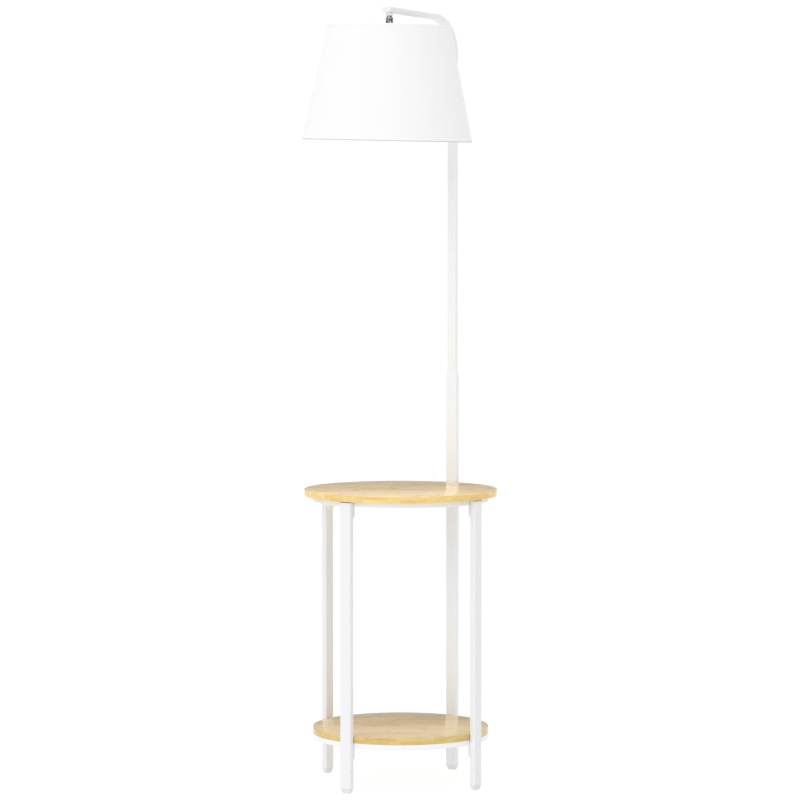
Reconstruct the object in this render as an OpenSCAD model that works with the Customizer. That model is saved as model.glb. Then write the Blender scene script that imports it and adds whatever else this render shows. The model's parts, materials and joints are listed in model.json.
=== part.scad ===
// Floor lamp with a two-tier round table, modelled in millimetres.
// +Z is up. The arm and the pole stand in the YZ plane, and the arm points to -Y.
// The origin is on the floor, below the middle of the whole lamp's outline.

/* [Table boards] */
// Diameter of the round table top
table_d = 380; // [360:2:440]
// Thickness of the table top
table_t = 14; // [12:1:20]
// Height of the top face of the table top above the floor
table_h = 582; // [480:2:640]
// Thickness of the lower shelf
shelf_t = 14; // [12:1:20]
// Height of the top face of the lower shelf above the floor
shelf_h = 112; // [95:1:300]
// Rounding of the long edges of both boards
board_edge_r = 1.8; // [0.5:0.1:4]
// Gap between a board and the tube that it meets
board_gap = 0.3; // [0.2:0.1:1]

/* [Legs and pole] */
// Distance from the table's centre to the centre of each leg tube
leg_circle_r = 180; // [165:1:182]
// Wide side of the leg tube, which faces the table's centre
leg_w = 25; // [22:0.5:32]
// Narrow side of the leg tube
leg_t = 12.5; // [11.5:0.5:14]
// Wall of the leg tube
leg_wall = 1.2; // [1:0.1:1.5]
// Outside corner radius of the leg tube
leg_corner_r = 3; // [2:0.25:4]
// Height of the top of the lower pole tube above the floor
pole_step_h = 797; // [720:1:900]

/* [Feet] */
// Height of a foot below the end of its tube
foot_h = 10; // [6:1:16]
// Wide side of a foot where it stands on the floor
foot_bottom_w = 17; // [12:0.5:20]
// Narrow side of a foot where it stands on the floor
foot_bottom_t = 8.5; // [6:0.5:10]
// Length of a plug inside a leg tube
plug_depth = 14; // [8:1:25]
// Thickness of the rim of the cap on top of a short leg
leg_cap_rim = 1.5; // [1:0.5:3]

/* [Hoops] */
// Height of the flat bar of a hoop
hoop_h = 10; // [6:1:16]
// Thickness of the flat bar of a hoop and of its brackets
hoop_bar = 4; // [3.5:0.5:5]
// Length of a bracket's plate below the board
bracket_h = 34; // [30:1:50]
// Corner radius of a bracket's plate
bracket_r = 7; // [3:1:11]
// Length of the lug under the board
lug_l = 22; // [18:1:34]
// Thickness of the lug under the board
lug_t = 3; // [2.5:0.5:4]
// Height of a leg bolt below the board
bolt_drop = 21; // [17:1:24]

/* [Fasteners] */
// Shank of a leg bolt
bolt_d = 6; // [5:0.5:6]
// Head of a leg bolt
bolt_head_d = 11; // [9:0.5:12]
// Length of a threaded insert in a leg tube
insert_l = 5; // [4:0.25:5]
// Outside diameter of a threaded insert
insert_d = 8.8; // [8:0.1:9.4]
// Shank of a board screw
screw_d = 4; // [3:0.5:4.5]
// Head of a board screw
screw_head_d = 7.4; // [6:0.2:8.4]
// Length of a board screw
screw_l = 12; // [9:1:13]
// Width across the flats of a leg bolt's hexagon socket
bolt_socket_flats = 4; // [3:0.25:5]
// Length of the cross in a board screw's head
screw_slot_l = 4; // [3:0.25:5]
// Width of the cross in a board screw's head
screw_slot_w = 0.9; // [0.6:0.1:1.4]
// Diameter and length of a grub screw in the pole connector
grub_d = 4; // [3:0.5:4]
// Width across the flats of a grub screw's hexagon socket
grub_flats = 2; // [1.5:0.25:2.25]
// Depth of the sockets in the heads
socket_depth = 1.8; // [1:0.1:2.2]
// Clearance round a screw in its hole, on the diameter
screw_gap = 0.2; // [0.1:0.05:0.4]

/* [Pole connector] */
// Height of the sloped shoulder between the two pole tubes
shoulder_h = 9; // [6:1:16]
// Length of the connector inside each tube
connector_l = 45; // [35:1:70]
// Clearance between a plug and the inside of its tube, on each side
plug_gap = 0.1; // [0.05:0.05:0.2]
// Bore through the connector for the flex
connector_bore = 6; // [5:0.25:6.5]
// Distance of a grub screw from the end of its tube
grub_inset = 18; // [10:1:30]
// Distance of a grub screw from the middle of the pole
grub_side = 6; // [5.5:0.1:6.5]

/* [Arm] */
// Wide side of the arm tube
arm_w = 20; // [18:0.5:22]
// Narrow side of the arm tube
arm_t = 11; // [10.5:0.5:12]
// Wall of the arm tube
arm_wall = 1.2; // [1:0.1:1.3]
// Outside corner radius of the arm tube
arm_corner_r = 2.5; // [1.5:0.25:3]
// Height of the arm's centre line above the floor, over the shade
arm_h = 1521; // [1440:1:1600]
// Distance from the pole to the shade's axis
arm_reach = 217.5; // [210:0.5:260]
// Angle at which the arm rises towards its tip
arm_rise = 3; // [0:0.1:8]
// Centre-line radius of the bend between the pole and the arm
bend_r = 70; // [40:1:90]
// Length of the arm tube past the shade's axis
arm_overhang = 9; // [8.5:0.5:20]
// How much slimmer the straight arm is than the bend, on each side
arm_step = 0.05; // [0.04:0.01:0.1]
// How far the straight arm runs back into the wall of the bend
arm_lap = 1; // [0.5:0.5:1.5]
// Rim of the end cap round the tube
cap_rim = 0.8; // [0.4:0.1:2]
// Thickness of the end cap's face
cap_face = 2; // [1:0.5:4]
// Depth of the end cap inside the tube
cap_depth = 5; // [3:0.5:8]
// Diameter of the boss under the arm
boss_d = 14.6; // [14:0.2:18]
// Height of the boss under the arm
boss_h = 6.3; // [4:0.1:12]

/* [Swivel] */
// Angle at which the swivel holds the shade's axis off the vertical
shade_lean = 1.4; // [-3:0.1:3]
// Diameter of the swivel's body
knuckle_d = 14.6; // [14:0.1:16]
// Diameter of the swivel's neck
neck_d = 11; // [10.8:0.1:12]
// Height of the swivel's neck
neck_h = 4; // [2:0.5:8]
// Height of the solid end of each half of the swivel
knuckle_end_h = 3.2; // [2.5:0.1:5]
// Radius of the round cheek of each half, about the pivot
cheek_r = 7; // [6.5:0.1:7.2]
// Gap between the moving faces of the swivel
swivel_gap = 0.15; // [0.1:0.05:0.25]
// Radius of the hollow in each half that the leads turn in
hollow_r = 4.2; // [3:0.1:4.5]
// Wall left outside that hollow
hollow_wall = 3.3; // [3:0.1:4]
// Diameter of the pivot screw
pivot_d = 3; // [2.5:0.1:3.2]
// Diameter of the pivot screw's head
pivot_head_d = 6; // [5:0.2:6.4]
// Depth of the pivot screw's head
pivot_head_h = 1.5; // [1:0.1:1.8]
// Outside diameter of the threaded nipples
nipple_d = 10; // [9.5:0.1:10.2]
// Bore of the threaded nipples
nipple_bore = 6; // [5:0.1:7]
// Thread length of a nipple inside the swivel
nipple_grip = 5.6; // [4:0.1:6]
// Thickness of the nut inside the arm
nut_h = 2.4; // [2:0.1:2.6]
// Width across the flats of that nut
nut_flats = 14; // [13:0.5:14]

/* [Lampholder] */
// Length of the nipple between the swivel and the lampholder
drop_nipple_l = 4; // [2:0.5:12]
// Outside diameter of the lampholder
holder_d = 38; // [36:0.5:40]
// Height of the lampholder's cap
holder_cap_h = 16; // [14:1:24]
// Height from the bottom of that cap to the shade's seat
holder_neck_h = 18; // [16:1:30]
// Diameter of the collar that the shade is clamped against
collar_d = 44; // [42:0.5:48]
// Thickness of that collar
collar_h = 2; // [1.5:0.5:4]
// Length of the outside thread below the collar
holder_thread_h = 22; // [20:1:30]
// Wall of the lampholder's cap
holder_wall = 2.5; // [2:0.1:3]
// Bore of the brass screw shell
shell_bore = 26.8; // [26.6:0.1:27.2]
// Wall of the brass screw shell
shell_wall = 0.5; // [0.4:0.1:0.8]
// Height of the lampholder's sloped top
holder_slope_h = 6; // [4:0.5:8]
// Height of the insulator inside the lampholder
insulator_h = 9; // [7:0.5:12]
// Plastic below the screw shell at the lampholder's mouth
mouth_lip_h = 3; // [2:0.5:5]
// Diameter of the lampholder's contact
contact_d = 8.6; // [6:0.2:12]
// Thickness of the lampholder's contact
contact_t = 1.6; // [1:0.1:3]
// Width of a terminal block
terminal_w = 5; // [4:0.5:6]
// Length of a terminal block
terminal_l = 7; // [4:0.5:9]
// Height of a terminal block
terminal_h = 6; // [4:0.5:8]
// Gap between the flex and a terminal block
terminal_gap = 1.5; // [0.5:0.5:2]
// Height of the clamping ring
ring_h = 8; // [6:0.5:12]
// Height of the clamping ring's flange
ring_flange_h = 2.6; // [2:0.2:4]
// Outside diameter of the clamping ring's flange
ring_d = 52; // [48:0.5:58]
// Clearance round the lampholder's thread, on the diameter
thread_gap = 0.6; // [0.4:0.1:1]

/* [Bulb] */
// Diameter of the bulb's globe
bulb_d = 60; // [55:1:65]
// Length of the bulb from its contact to the bottom of its globe
bulb_l = 108; // [104:1:125]
// Diameter of the bulb's screw cap
bulb_cap_d = 26; // [25.8:0.1:26.2]
// Height of the bulb's screw cap
bulb_cap_h = 23; // [21:0.5:25]
// Height of the insulated tip above the bulb's screw cap
bulb_tip_h = 2; // [1:0.2:3]
// Diameter of that tip where it meets the cap
bulb_tip_d = 15.6; // [12:0.2:18]
// Diameter of the bulb's contact
bulb_contact_d = 8.6; // [6:0.2:12]
// Wall of the bulb's globe
bulb_wall = 1.2; // [0.8:0.1:2]
// Diameter of the bulb's housing at its widest
bulb_skirt_d = 36; // [32:0.5:38]
// Gap between the bulb's contact and the lampholder's
contact_gap = 0.3; // [0.3:0.1:0.6]

/* [Shade] */
// Outside diameter of the shade at the top
shade_top_d = 240; // [200:2:280]
// Outside diameter of the shade at the bottom
shade_bottom_d = 333; // [300:1:360]
// Height of the shade
shade_h = 222; // [190:1:260]
// Distance from the swivel's pivot down to the shade's top edge
shade_drop = 6.3; // [5:0.1:20]
// Thickness of the fabric
fabric_t = 0.7; // [0.5:0.1:1.5]
// Thickness of the stiff liner behind the fabric
liner_t = 0.5; // [0.4:0.1:1]
// Thickness of the wire of the top and bottom hoops
wire_d = 3; // [2.4:0.2:5]
// Thickness of the arms of the top frame
spoke_d = 2.8; // [2.4:0.1:4]
// Number of arms of the top frame
spokes = 3; // [3:1:4]
// Outside diameter of the frame's centre plate
fitter_d = 50; // [48:1:60]
// Thickness of the frame's centre plate
fitter_t = 2; // [1.5:0.1:3]
// Clearance between the arms' lower ends and the lampholder's collar
collar_gap = 0.5; // [0.3:0.1:1]
// Clearance between the layers of the shade
layer_gap = 0.1; // [0.1:0.05:0.3]

/* [Wiring] */
// Diameter of the flex inside the pole and the arm
flex_d = 4; // [3:0.1:4.2]
// Diameter of the flex's two turned ends, without their outer sleeve
flex_end_d = 3.6; // [2.4:0.1:3.8]
// How far the flex lies towards the outside of the bend
flex_offset = 0.9; // [0.8:0.05:0.95]
// Height of the cord's outlet above the floor
outlet_h = 50; // [30:1:60]
// Diameter of the outlet's grommet in the tube wall
grommet_d = 8.6; // [7:0.1:10]
// Diameter of the grommet's flanges
grommet_flange_d = 11.5; // [11:0.1:12]
// Thickness of a flange of the grommet
grommet_flange_t = 1.6; // [1:0.1:2]

/* [Hidden] */
$fn = 64;

// Corners of the table, a quarter turn apart, counted from +X
RIGHT = 0;
BACK = 1;
LEFT = 2;
FRONT = 3;
SHORT_LEGS = [RIGHT, LEFT, FRONT];
ALL_LEGS = [RIGHT, BACK, LEFT, FRONT];

cut = 1;                                              // how far a cutting solid runs past a face
leg_face = leg_t / 2;                                 // from a leg's middle to its wide face
inner_face_r = leg_circle_r - leg_face;               // table centre to the legs' inner faces
shelf_d = 2 * (inner_face_r - board_gap);
hoop_r = inner_face_r - board_gap;
table_bottom = table_h - table_t;
shelf_bottom = shelf_h - shelf_t;
BOARD_BOTTOMS = [table_bottom, shelf_bottom];
leg_top = table_bottom - leg_cap_rim;
lug_screw_x = -leg_face - hoop_bar - lug_l / 2;       // board screw, from a leg's middle
front_reach = arm_reach - leg_circle_r + shade_bottom_d / 2;
table_y = (front_reach - table_d / 2) / 2;            // the table's centre behind the origin
pole_y = table_y + leg_circle_r;
shade_y = pole_y - arm_reach;

arm_foot = pole_step_h + shoulder_h;                  // lower end of the arm tube
turn = 90 - arm_rise;                                 // angle of the bend
arm_run = (arm_reach - bend_r * (1 - cos(turn))) / cos(arm_rise);
bend_z = hundredth(arm_h - bend_r * sin(turn) - arm_run * sin(arm_rise));
straight_t = arm_t - 2 * arm_step;                    // narrow side of the straight arm
straight_w = arm_w - 2 * arm_step;
straight_wall = arm_wall - 2 * arm_step;
straight_r = arm_corner_r - arm_step;
arm_half = straight_t / 2 / cos(arm_rise);            // half the straight arm's upright thickness
arm_inside = (straight_t / 2 - straight_wall) / cos(arm_rise);
boss_bottom = arm_h - arm_half - boss_h;
pivot_z = boss_bottom - neck_h - knuckle_end_h - cheek_r;
arm_floor = arm_h - arm_inside - pivot_z;             // inside floor of the arm above the pivot
end_top = cheek_r + knuckle_end_h;                    // top of the swivel's end, above the pivot

// Heights below the pivot, along the shade's axis
cap_z = -end_top - drop_nipple_l;                     // top of the lampholder
neck_z = cap_z - holder_cap_h;
seat_z = neck_z - holder_neck_h;                      // underside of the collar
mouth_z = seat_z - holder_thread_h;                   // open end of the lampholder
shell_top = neck_z - insulator_h;
bulb_top = shell_top - contact_t - contact_gap;
bulb_cap_top = bulb_top - bulb_tip_h;
bulb_cap_bottom = bulb_cap_top - bulb_cap_h;
globe_z = bulb_top - bulb_l + bulb_d / 2;             // middle of the globe
shade_top = -shade_drop;
shade_bottom = shade_top - shade_h;
shade_slope = (shade_bottom_d - shade_top_d) / 2 / shade_h;
shade_skin_t = fabric_t + layer_gap + liner_t;
ring_hole_d = holder_d + thread_gap;

function hundredth(x) = round(100 * x) / 100;
function shade_r(z) = shade_top_d / 2 + (shade_top - z) * shade_slope;
function wire_r(z) = shade_r(z) - shade_skin_t - layer_gap - wire_d / 2 - wire_d / 2 * shade_slope;

// ---- shared shapes ----

// Rounded rectangle with the narrow side along X and the wide side along Y
module tube_outline(t, w, r) {
    square([t - 2 * r, w], center = true);
    square([t, w - 2 * r], center = true);
    for (x = [-1, 1], y = [-1, 1])
        translate([x * (t / 2 - r), y * (w / 2 - r)])
            circle(r = r);
}

module tube_section(t, w, wall, r) {
    difference() {
        tube_outline(t, w, r);
        tube_outline(t - 2 * wall, w - 2 * wall, r - wall / 2);
    }
}

// Block whose four sides slope from the bottom size to the top size
module sloped_block(bottom, top, h, r) {
    widest = [max(bottom[0], top[0]), max(bottom[1], top[1])];
    intersection() {
        linear_extrude(h)
            tube_outline(widest[0], widest[1], r);
        rotate([90, 0, 0])
            linear_extrude(2 * widest[1], center = true)
                side_outline(bottom[0], top[0], h);
        rotate([90, 0, 90])
            linear_extrude(2 * widest[0], center = true)
                side_outline(bottom[1], top[1], h);
    }
}

module side_outline(bottom, top, h) {
    polygon([[-bottom / 2, 0], [bottom / 2, 0], [top / 2, h], [-top / 2, h]]);
}

module washer(outer, inner, h) {
    difference() {
        cylinder(d = outer, h = h);
        translate([0, 0, -cut])
            cylinder(d = inner, h = h + 2 * cut);
    }
}

// Countersunk screw along -Z, with the face of its head at z = 0
module countersunk(shank, head, len) {
    cylinder_down(shank, len);
    translate([0, 0, -(head - shank) / 2])
        cylinder(d1 = shank, d2 = head, h = (head - shank) / 2);
}

module cylinder_down(d, len) {
    translate([0, 0, -len])
        cylinder(d = d, h = len);
}

// ---- places ----

// A corner of the table: X points away from the centre and Z stays up
module at_corner(i) {
    translate([0, table_y, 0])
        rotate([0, 0, 90 * i])
            translate([leg_circle_r, 0, 0])
                children();
}

// The swivel's pivot, upright
module at_pivot() {
    translate([0, shade_y, pivot_z])
        children();
}

// The swivel's pivot, leaned as the shade leans
module in_head() {
    at_pivot()
        rotate([0, shade_lean, 0])
            children();
}

// The arm plane: X runs back to the pole, Y is up, seen from +X
module in_arm_plane() {
    translate([0, pole_y, 0])
        rotate([90, 0, 90])
            children();
}

// ---- boards ----

// Disc with rounded edges, its top face at z = 0
module board(d, t) {
    rotate_extrude()
        translate([0, -t]) {
            square([d / 2 - board_edge_r, t]);
            translate([0, board_edge_r])
                square([d / 2, t - 2 * board_edge_r]);
            for (y = [board_edge_r, t - board_edge_r])
                translate([d / 2 - board_edge_r, y])
                    circle(r = board_edge_r);
        }
}

module board_screw_holes(bottom) {
    for (i = ALL_LEGS)
        at_corner(i)
            translate([lug_screw_x, 0, bottom - cut])
                cylinder(d = screw_d + screw_gap, h = screw_l - lug_t + cut + screw_gap);
}

module tabletop() {
    notch_t = leg_t + board_gap;
    color("burlywood")
        difference() {
            translate([0, table_y, table_h])
                board(table_d, table_t);
            at_corner(BACK)
                translate([-leg_face - board_gap, -leg_w / 2 - board_gap, table_bottom - cut])
                    cube([notch_t + table_d / 2 - leg_circle_r, leg_w + 2 * board_gap, table_t + 2 * cut]);
            board_screw_holes(table_bottom);
        }
}

module lower_shelf() {
    color("burlywood")
        difference() {
            translate([0, table_y, shelf_h])
                board(shelf_d, shelf_t);
            board_screw_holes(shelf_bottom);
        }
}

// ---- hoops and their fasteners ----

// Plate on a leg's inner face, with the lug under the board
module bracket(bottom) {
    plate_x = -leg_face - hoop_bar;
    translate([plate_x, 0, bottom])
        rotate([90, 0, 90])
            linear_extrude(hoop_bar)
                bracket_outline();
    translate([plate_x - lug_l, -leg_w / 2, bottom - lug_t])
        cube([lug_l + hoop_bar, leg_w, lug_t]);
}

// Plate that hangs down from y = 0, with rounded lower corners
module bracket_outline() {
    translate([-leg_w / 2, bracket_r - bracket_h])
        square([leg_w, bracket_h - bracket_r]);
    translate([bracket_r - leg_w / 2, -bracket_h])
        square([leg_w - 2 * bracket_r, bracket_h]);
    for (x = [-1, 1])
        translate([x * (leg_w / 2 - bracket_r), bracket_r - bracket_h])
            circle(r = bracket_r);
}

// Welded hoop with its four brackets, under a board
module hoop(bottom) {
    color("white")
        difference() {
            union() {
                translate([0, table_y, bottom - hoop_h])
                    washer(2 * hoop_r, 2 * (hoop_r - hoop_bar), hoop_h);
                for (i = ALL_LEGS)
                    at_corner(i)
                        bracket(bottom);
            }
            for (i = ALL_LEGS)
                at_corner(i) {
                    at_bolt(bottom)
                        countersunk(bolt_d + screw_gap, bolt_head_d + screw_gap, hoop_bar + cut);
                    translate([lug_screw_x, 0, bottom - lug_t])
                        rotate([180, 0, 0])
                            countersunk(screw_d + screw_gap, screw_head_d + screw_gap, lug_t + cut);
                }
        }
}

// A leg bolt's place: its head's face is flush with the plate, and it points outwards
module at_bolt(bottom) {
    translate([-leg_face - hoop_bar, 0, bottom - bolt_drop])
        rotate([0, -90, 0])
            children();
}

module leg_bolts() {
    color("gainsboro")
        for (i = ALL_LEGS, bottom = BOARD_BOTTOMS)
            at_corner(i)
                at_bolt(bottom)
                    difference() {
                        countersunk(bolt_d, bolt_head_d, hoop_bar + insert_l - screw_gap);
                        translate([0, 0, -socket_depth])
                            cylinder(d = bolt_socket_flats / cos(30), h = socket_depth + cut, $fn = 6);
                    }
}

module leg_inserts() {
    color("silver")
        for (i = ALL_LEGS, bottom = BOARD_BOTTOMS)
            at_corner(i)
                at_bolt(bottom)
                    translate([0, 0, -hoop_bar - insert_l])
                        washer(insert_d, bolt_d + screw_gap, insert_l);
}

module board_screws() {
    color("silver")
        for (i = ALL_LEGS, bottom = BOARD_BOTTOMS)
            at_corner(i)
                translate([lug_screw_x, 0, bottom - lug_t])
                    rotate([180, 0, 0])
                        difference() {
                            countersunk(screw_d, screw_head_d, screw_l);
                            for (turned = [0, 90])
                                rotate([0, 0, turned])
                                    cube([screw_slot_l, screw_slot_w, 2 * socket_depth], center = true);
                        }
}

// ---- legs, feet and pole ----

module leg_tube(top) {
    translate([0, 0, foot_h])
        linear_extrude(top - foot_h)
            tube_section(leg_t, leg_w, leg_wall, leg_corner_r);
}

// Holes in a leg's inner wall for the threaded inserts
module insert_holes() {
    for (bottom = BOARD_BOTTOMS)
        translate([-leg_face - cut, 0, bottom - bolt_drop])
            rotate([0, 90, 0])
                cylinder(d = insert_d, h = leg_wall + 2 * cut);
}

module short_leg() {
    color("white")
        difference() {
            leg_tube(leg_top);
            insert_holes();
        }
}

module pole_lower() {
    color("white")
        difference() {
            leg_tube(pole_step_h);
            insert_holes();
            translate([leg_face, 0, outlet_h])
                rotate([0, 90, 0])
                    cylinder(d = grommet_d, h = 3 * leg_wall, center = true);
            translate([leg_face, grub_side, pole_step_h - grub_inset])
                rotate([0, 90, 0])
                    cylinder(d = grub_d + screw_gap, h = 3 * leg_wall, center = true);
        }
}

// Part of a plug that sits inside a leg tube
module leg_plug(len) {
    inside = leg_wall + plug_gap;
    linear_extrude(len)
        tube_outline(leg_t - 2 * inside, leg_w - 2 * inside, leg_corner_r - inside / 2);
}

module foot() {
    color("lightgray") {
        sloped_block([foot_bottom_t, foot_bottom_w], [leg_t, leg_w], foot_h, leg_corner_r);
        translate([0, 0, foot_h])
            leg_plug(plug_depth);
    }
}

module leg_caps() {
    color("lightgray")
        for (i = SHORT_LEGS)
            at_corner(i) {
                translate([0, 0, leg_top])
                    linear_extrude(leg_cap_rim)
                        tube_outline(leg_t, leg_w, leg_corner_r);
                translate([0, 0, leg_top - plug_depth])
                    leg_plug(plug_depth);
            }
}

// Connector that plugs into both pole tubes, with the sloped shoulder between them
module pole_connector() {
    inside = arm_wall + plug_gap;
    color("white")
        difference() {
            union() {
                translate([0, 0, pole_step_h - connector_l])
                    leg_plug(connector_l);
                translate([0, 0, pole_step_h])
                    sloped_block([leg_t, leg_w], [arm_t, arm_w], shoulder_h, leg_corner_r);
                translate([0, 0, arm_foot])
                    linear_extrude(connector_l)
                        tube_outline(arm_t - 2 * inside, arm_w - 2 * inside, arm_corner_r - inside / 2);
            }
            translate([0, 0, pole_step_h - connector_l - cut])
                cylinder(d = connector_bore, h = shoulder_h + 2 * (connector_l + cut));
            grub_places()
                translate([0, 0, -2 * grub_d])
                    cylinder(d = grub_d + screw_gap, h = 3 * grub_d);
        }
}

// The two grub screws' places on the pole's outer face, pointing out
module grub_places() {
    translate([leg_face, grub_side, pole_step_h - grub_inset])
        rotate([0, 90, 0])
            children();
    translate([arm_t / 2, grub_side, arm_foot + grub_inset])
        rotate([0, 90, 0])
            children();
}

module connector_screws() {
    color("silver")
        at_corner(BACK)
            grub_places()
                translate([0, 0, -grub_d])
                    difference() {
                        cylinder(d = grub_d, h = grub_d);
                        translate([0, 0, grub_d - socket_depth])
                            cylinder(d = grub_flats / cos(30), h = grub_d, $fn = 6);
                    }
}

// ---- arm ----

// Sweeps the first outline up the pole and round the bend, and the second, which is slimmer,
// along the arm and past the shade's axis
module along_arm(from_z, past, shift = 0) {
    in_arm_plane() {
        translate([shift, from_z, 0])
            rotate([-90, 0, 0])
                linear_extrude(bend_z - from_z)
                    children(0);
        translate([-bend_r, bend_z, 0]) {
            rotate_extrude(angle = turn)
                translate([bend_r + shift, 0])
                    children(0);
            rotate([0, 0, turn])
                translate([bend_r + shift, -arm_lap, 0])
                    rotate([-90, 0, 0])
                        linear_extrude(arm_lap + arm_run + past)
                            children(1);
        }
    }
}

// The sloped line of the arm at the shade's axis: X points up across the arm and Z to its tip
module at_arm_tip(along) {
    in_arm_plane()
        translate([-bend_r, bend_z, 0])
            rotate([0, 0, turn])
                translate([bend_r, arm_run + along, 0])
                    rotate([-90, 0, 0])
                        children();
}

module arm_tube() {
    color("white")
        difference() {
            along_arm(arm_foot, arm_overhang) {
                tube_section(arm_t, arm_w, arm_wall, arm_corner_r);
                tube_section(straight_t, straight_w, straight_wall, straight_r);
            }
            translate([0, shade_y, arm_h - arm_t])
                cylinder(d = nipple_d + screw_gap, h = arm_t);
            translate([0, pole_y + arm_t / 2, arm_foot + grub_inset])
                rotate([90, 0, 0])
                    translate([-grub_side, 0, 0])
                        cylinder(d = grub_d + screw_gap, h = 3 * arm_wall, center = true);
        }
}

module arm_end_cap() {
    inside = straight_wall + plug_gap;
    color("whitesmoke")
        difference() {
            union() {
                at_arm_tip(arm_overhang)
                    linear_extrude(cap_face)
                        tube_outline(straight_t + 2 * cap_rim, straight_w + 2 * cap_rim,
                                     straight_r + cap_rim / 2);
                at_arm_tip(arm_overhang - cap_depth)
                    linear_extrude(cap_depth)
                        tube_outline(straight_t - 2 * inside, straight_w - 2 * inside, straight_r - inside / 2);
            }
            translate([0, shade_y, arm_h - arm_t])
                cylinder(r = arm_overhang - board_gap, h = 2 * arm_t);
        }
}

module arm_boss() {
    color("white")
        difference() {
            translate([0, shade_y, boss_bottom])
                cylinder(d = boss_d, h = boss_h + arm_half);
            at_arm_tip(-boss_d)
                linear_extrude(2 * boss_d)
                    square([straight_t, 2 * arm_w], center = true);
            translate([0, shade_y, boss_bottom - cut])
                cylinder(d = nipple_d + screw_gap, h = boss_h + arm_t);
        }
}

module arm_nipple() {
    bottom = end_top + neck_h - nipple_grip;
    color("silver")
        at_pivot()
            translate([0, 0, bottom])
                washer(nipple_d, nipple_bore, arm_floor + nut_h - bottom);
}

module arm_nut() {
    lift = nut_flats / 2 * tan(arm_rise);             // clears the sloped floor of the arm
    color("silver")
        at_pivot()
            translate([0, 0, arm_floor + lift])
                difference() {
                    cylinder(d = nut_flats / cos(30), h = nut_h - lift, $fn = 6);
                    translate([0, 0, -cut])
                        cylinder(d = nipple_d + screw_gap, h = nut_h + 2 * cut);
                }
}

// ---- swivel ----

// Half of the swivel with its end upwards and its cheek on the +Y side of the pivot
module swivel_half() {
    difference() {
        union() {
            translate([0, 0, cheek_r])
                cylinder(d = knuckle_d, h = knuckle_end_h);
            intersection() {
                cylinder(d = knuckle_d, h = 4 * cheek_r, center = true);
                translate([0, swivel_gap, 0])
                    cheek();
            }
        }
        rotate([-90, 0, 0]) {
            cylinder(d = pivot_d + screw_gap, h = knuckle_d);
            cylinder(r = hollow_r, h = knuckle_d / 2 - hollow_wall);
        }
        cylinder(d = flex_d + screw_gap, h = 2 * cheek_r);
        translate([0, knuckle_d / 2 - pivot_head_h, 0])
            rotate([-90, 0, 0])
                cylinder(d = pivot_head_d + screw_gap, h = knuckle_d);
    }
}

// Cheek with a round end about the pivot and a straight shank up to the swivel's end
module cheek() {
    rotate([-90, 0, 0])
        cylinder(r = cheek_r - swivel_gap, h = knuckle_d);
    translate([-cheek_r + swivel_gap, 0, 0])
        cube([2 * (cheek_r - swivel_gap), knuckle_d, cheek_r + knuckle_end_h / 2]);
}

module swivel_upper() {
    color("silver")
        at_pivot()
            difference() {
                union() {
                    swivel_half();
                    translate([0, 0, end_top])
                        washer(neck_d, flex_d + screw_gap, neck_h);
                }
                translate([0, 0, end_top + neck_h - nipple_grip])
                    cylinder(d = nipple_d, h = nipple_grip + cut);
            }
}

module swivel_lower() {
    color("silver")
        in_head()
            rotate([180, 0, 0])
                difference() {
                    swivel_half();
                    translate([0, 0, end_top - knuckle_end_h / 2])
                        cylinder(d = nipple_d, h = knuckle_end_h);
                }
}

module swivel_screw() {
    color("silver")
        at_pivot()
            rotate([-90, 0, 0]) {
                translate([0, 0, -knuckle_d / 2 + pivot_head_h / 2])
                    cylinder(d = pivot_d, h = knuckle_d - pivot_head_h);
                translate([0, 0, knuckle_d / 2 - pivot_head_h])
                    cylinder(d = pivot_head_d, h = pivot_head_h);
            }
}

module swivel_nut() {
    color("silver")
        at_pivot()
            translate([0, -knuckle_d / 2 + pivot_head_h, 0])
                rotate([90, 0, 0])
                    washer(pivot_head_d, pivot_d, pivot_head_h - swivel_gap);
}

// ---- lampholder ----

module holder_nipple() {
    bottom = cap_z - holder_wall - nut_h;
    top = -end_top + knuckle_end_h / 2;
    color("silver")
        in_head()
            translate([0, 0, bottom])
                washer(nipple_d, nipple_bore, top - bottom);
}

module holder_cap() {
    color("white")
        in_head()
            difference() {
                translate([0, 0, neck_z]) {
                    cylinder(d = holder_d, h = holder_cap_h - holder_slope_h);
                    translate([0, 0, holder_cap_h - holder_slope_h])
                        cylinder(d1 = holder_d, d2 = holder_d - 2 * holder_slope_h, h = holder_slope_h);
                }
                translate([0, 0, neck_z - cut])
                    cylinder(d = holder_d - 4 * holder_wall, h = holder_cap_h - holder_wall + cut);
                translate([0, 0, cap_z - holder_wall - cut])
                    cylinder(d = nipple_d + screw_gap, h = holder_wall + 2 * cut);
            }
}

module holder_body() {
    inside = shell_bore + 2 * (shell_wall + layer_gap);
    color("white")
        in_head()
            difference() {
                union() {
                    translate([0, 0, mouth_z])
                        cylinder(d = holder_d, h = neck_z - mouth_z);
                    translate([0, 0, seat_z])
                        cylinder(d = collar_d, h = collar_h);
                }
                translate([0, 0, mouth_z - cut])
                    cylinder(d = inside, h = neck_z - mouth_z + 2 * cut);
            }
}

module holder_insulator() {
    color("ivory")
        in_head()
            translate([0, 0, shell_top])
                washer(shell_bore + 2 * shell_wall, flex_d + screw_gap, insulator_h);
}

module holder_screw_shell() {
    color("gold")
        in_head()
            translate([0, 0, mouth_z + mouth_lip_h])
                washer(shell_bore + 2 * shell_wall, shell_bore, shell_top - mouth_z - mouth_lip_h);
}

module holder_contact() {
    color("gold")
        in_head()
            translate([0, 0, shell_top - contact_t])
                cylinder(d = contact_d, h = contact_t);
}

// Two terminal blocks on top of the insulator
module holder_terminals() {
    color("gold")
        in_head()
            for (side = [0, 180])
                rotate([0, 0, side])
                    translate([flex_d / 2 + terminal_gap, -terminal_l / 2, neck_z])
                        cube([terminal_w, terminal_l, terminal_h]);
}

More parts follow.
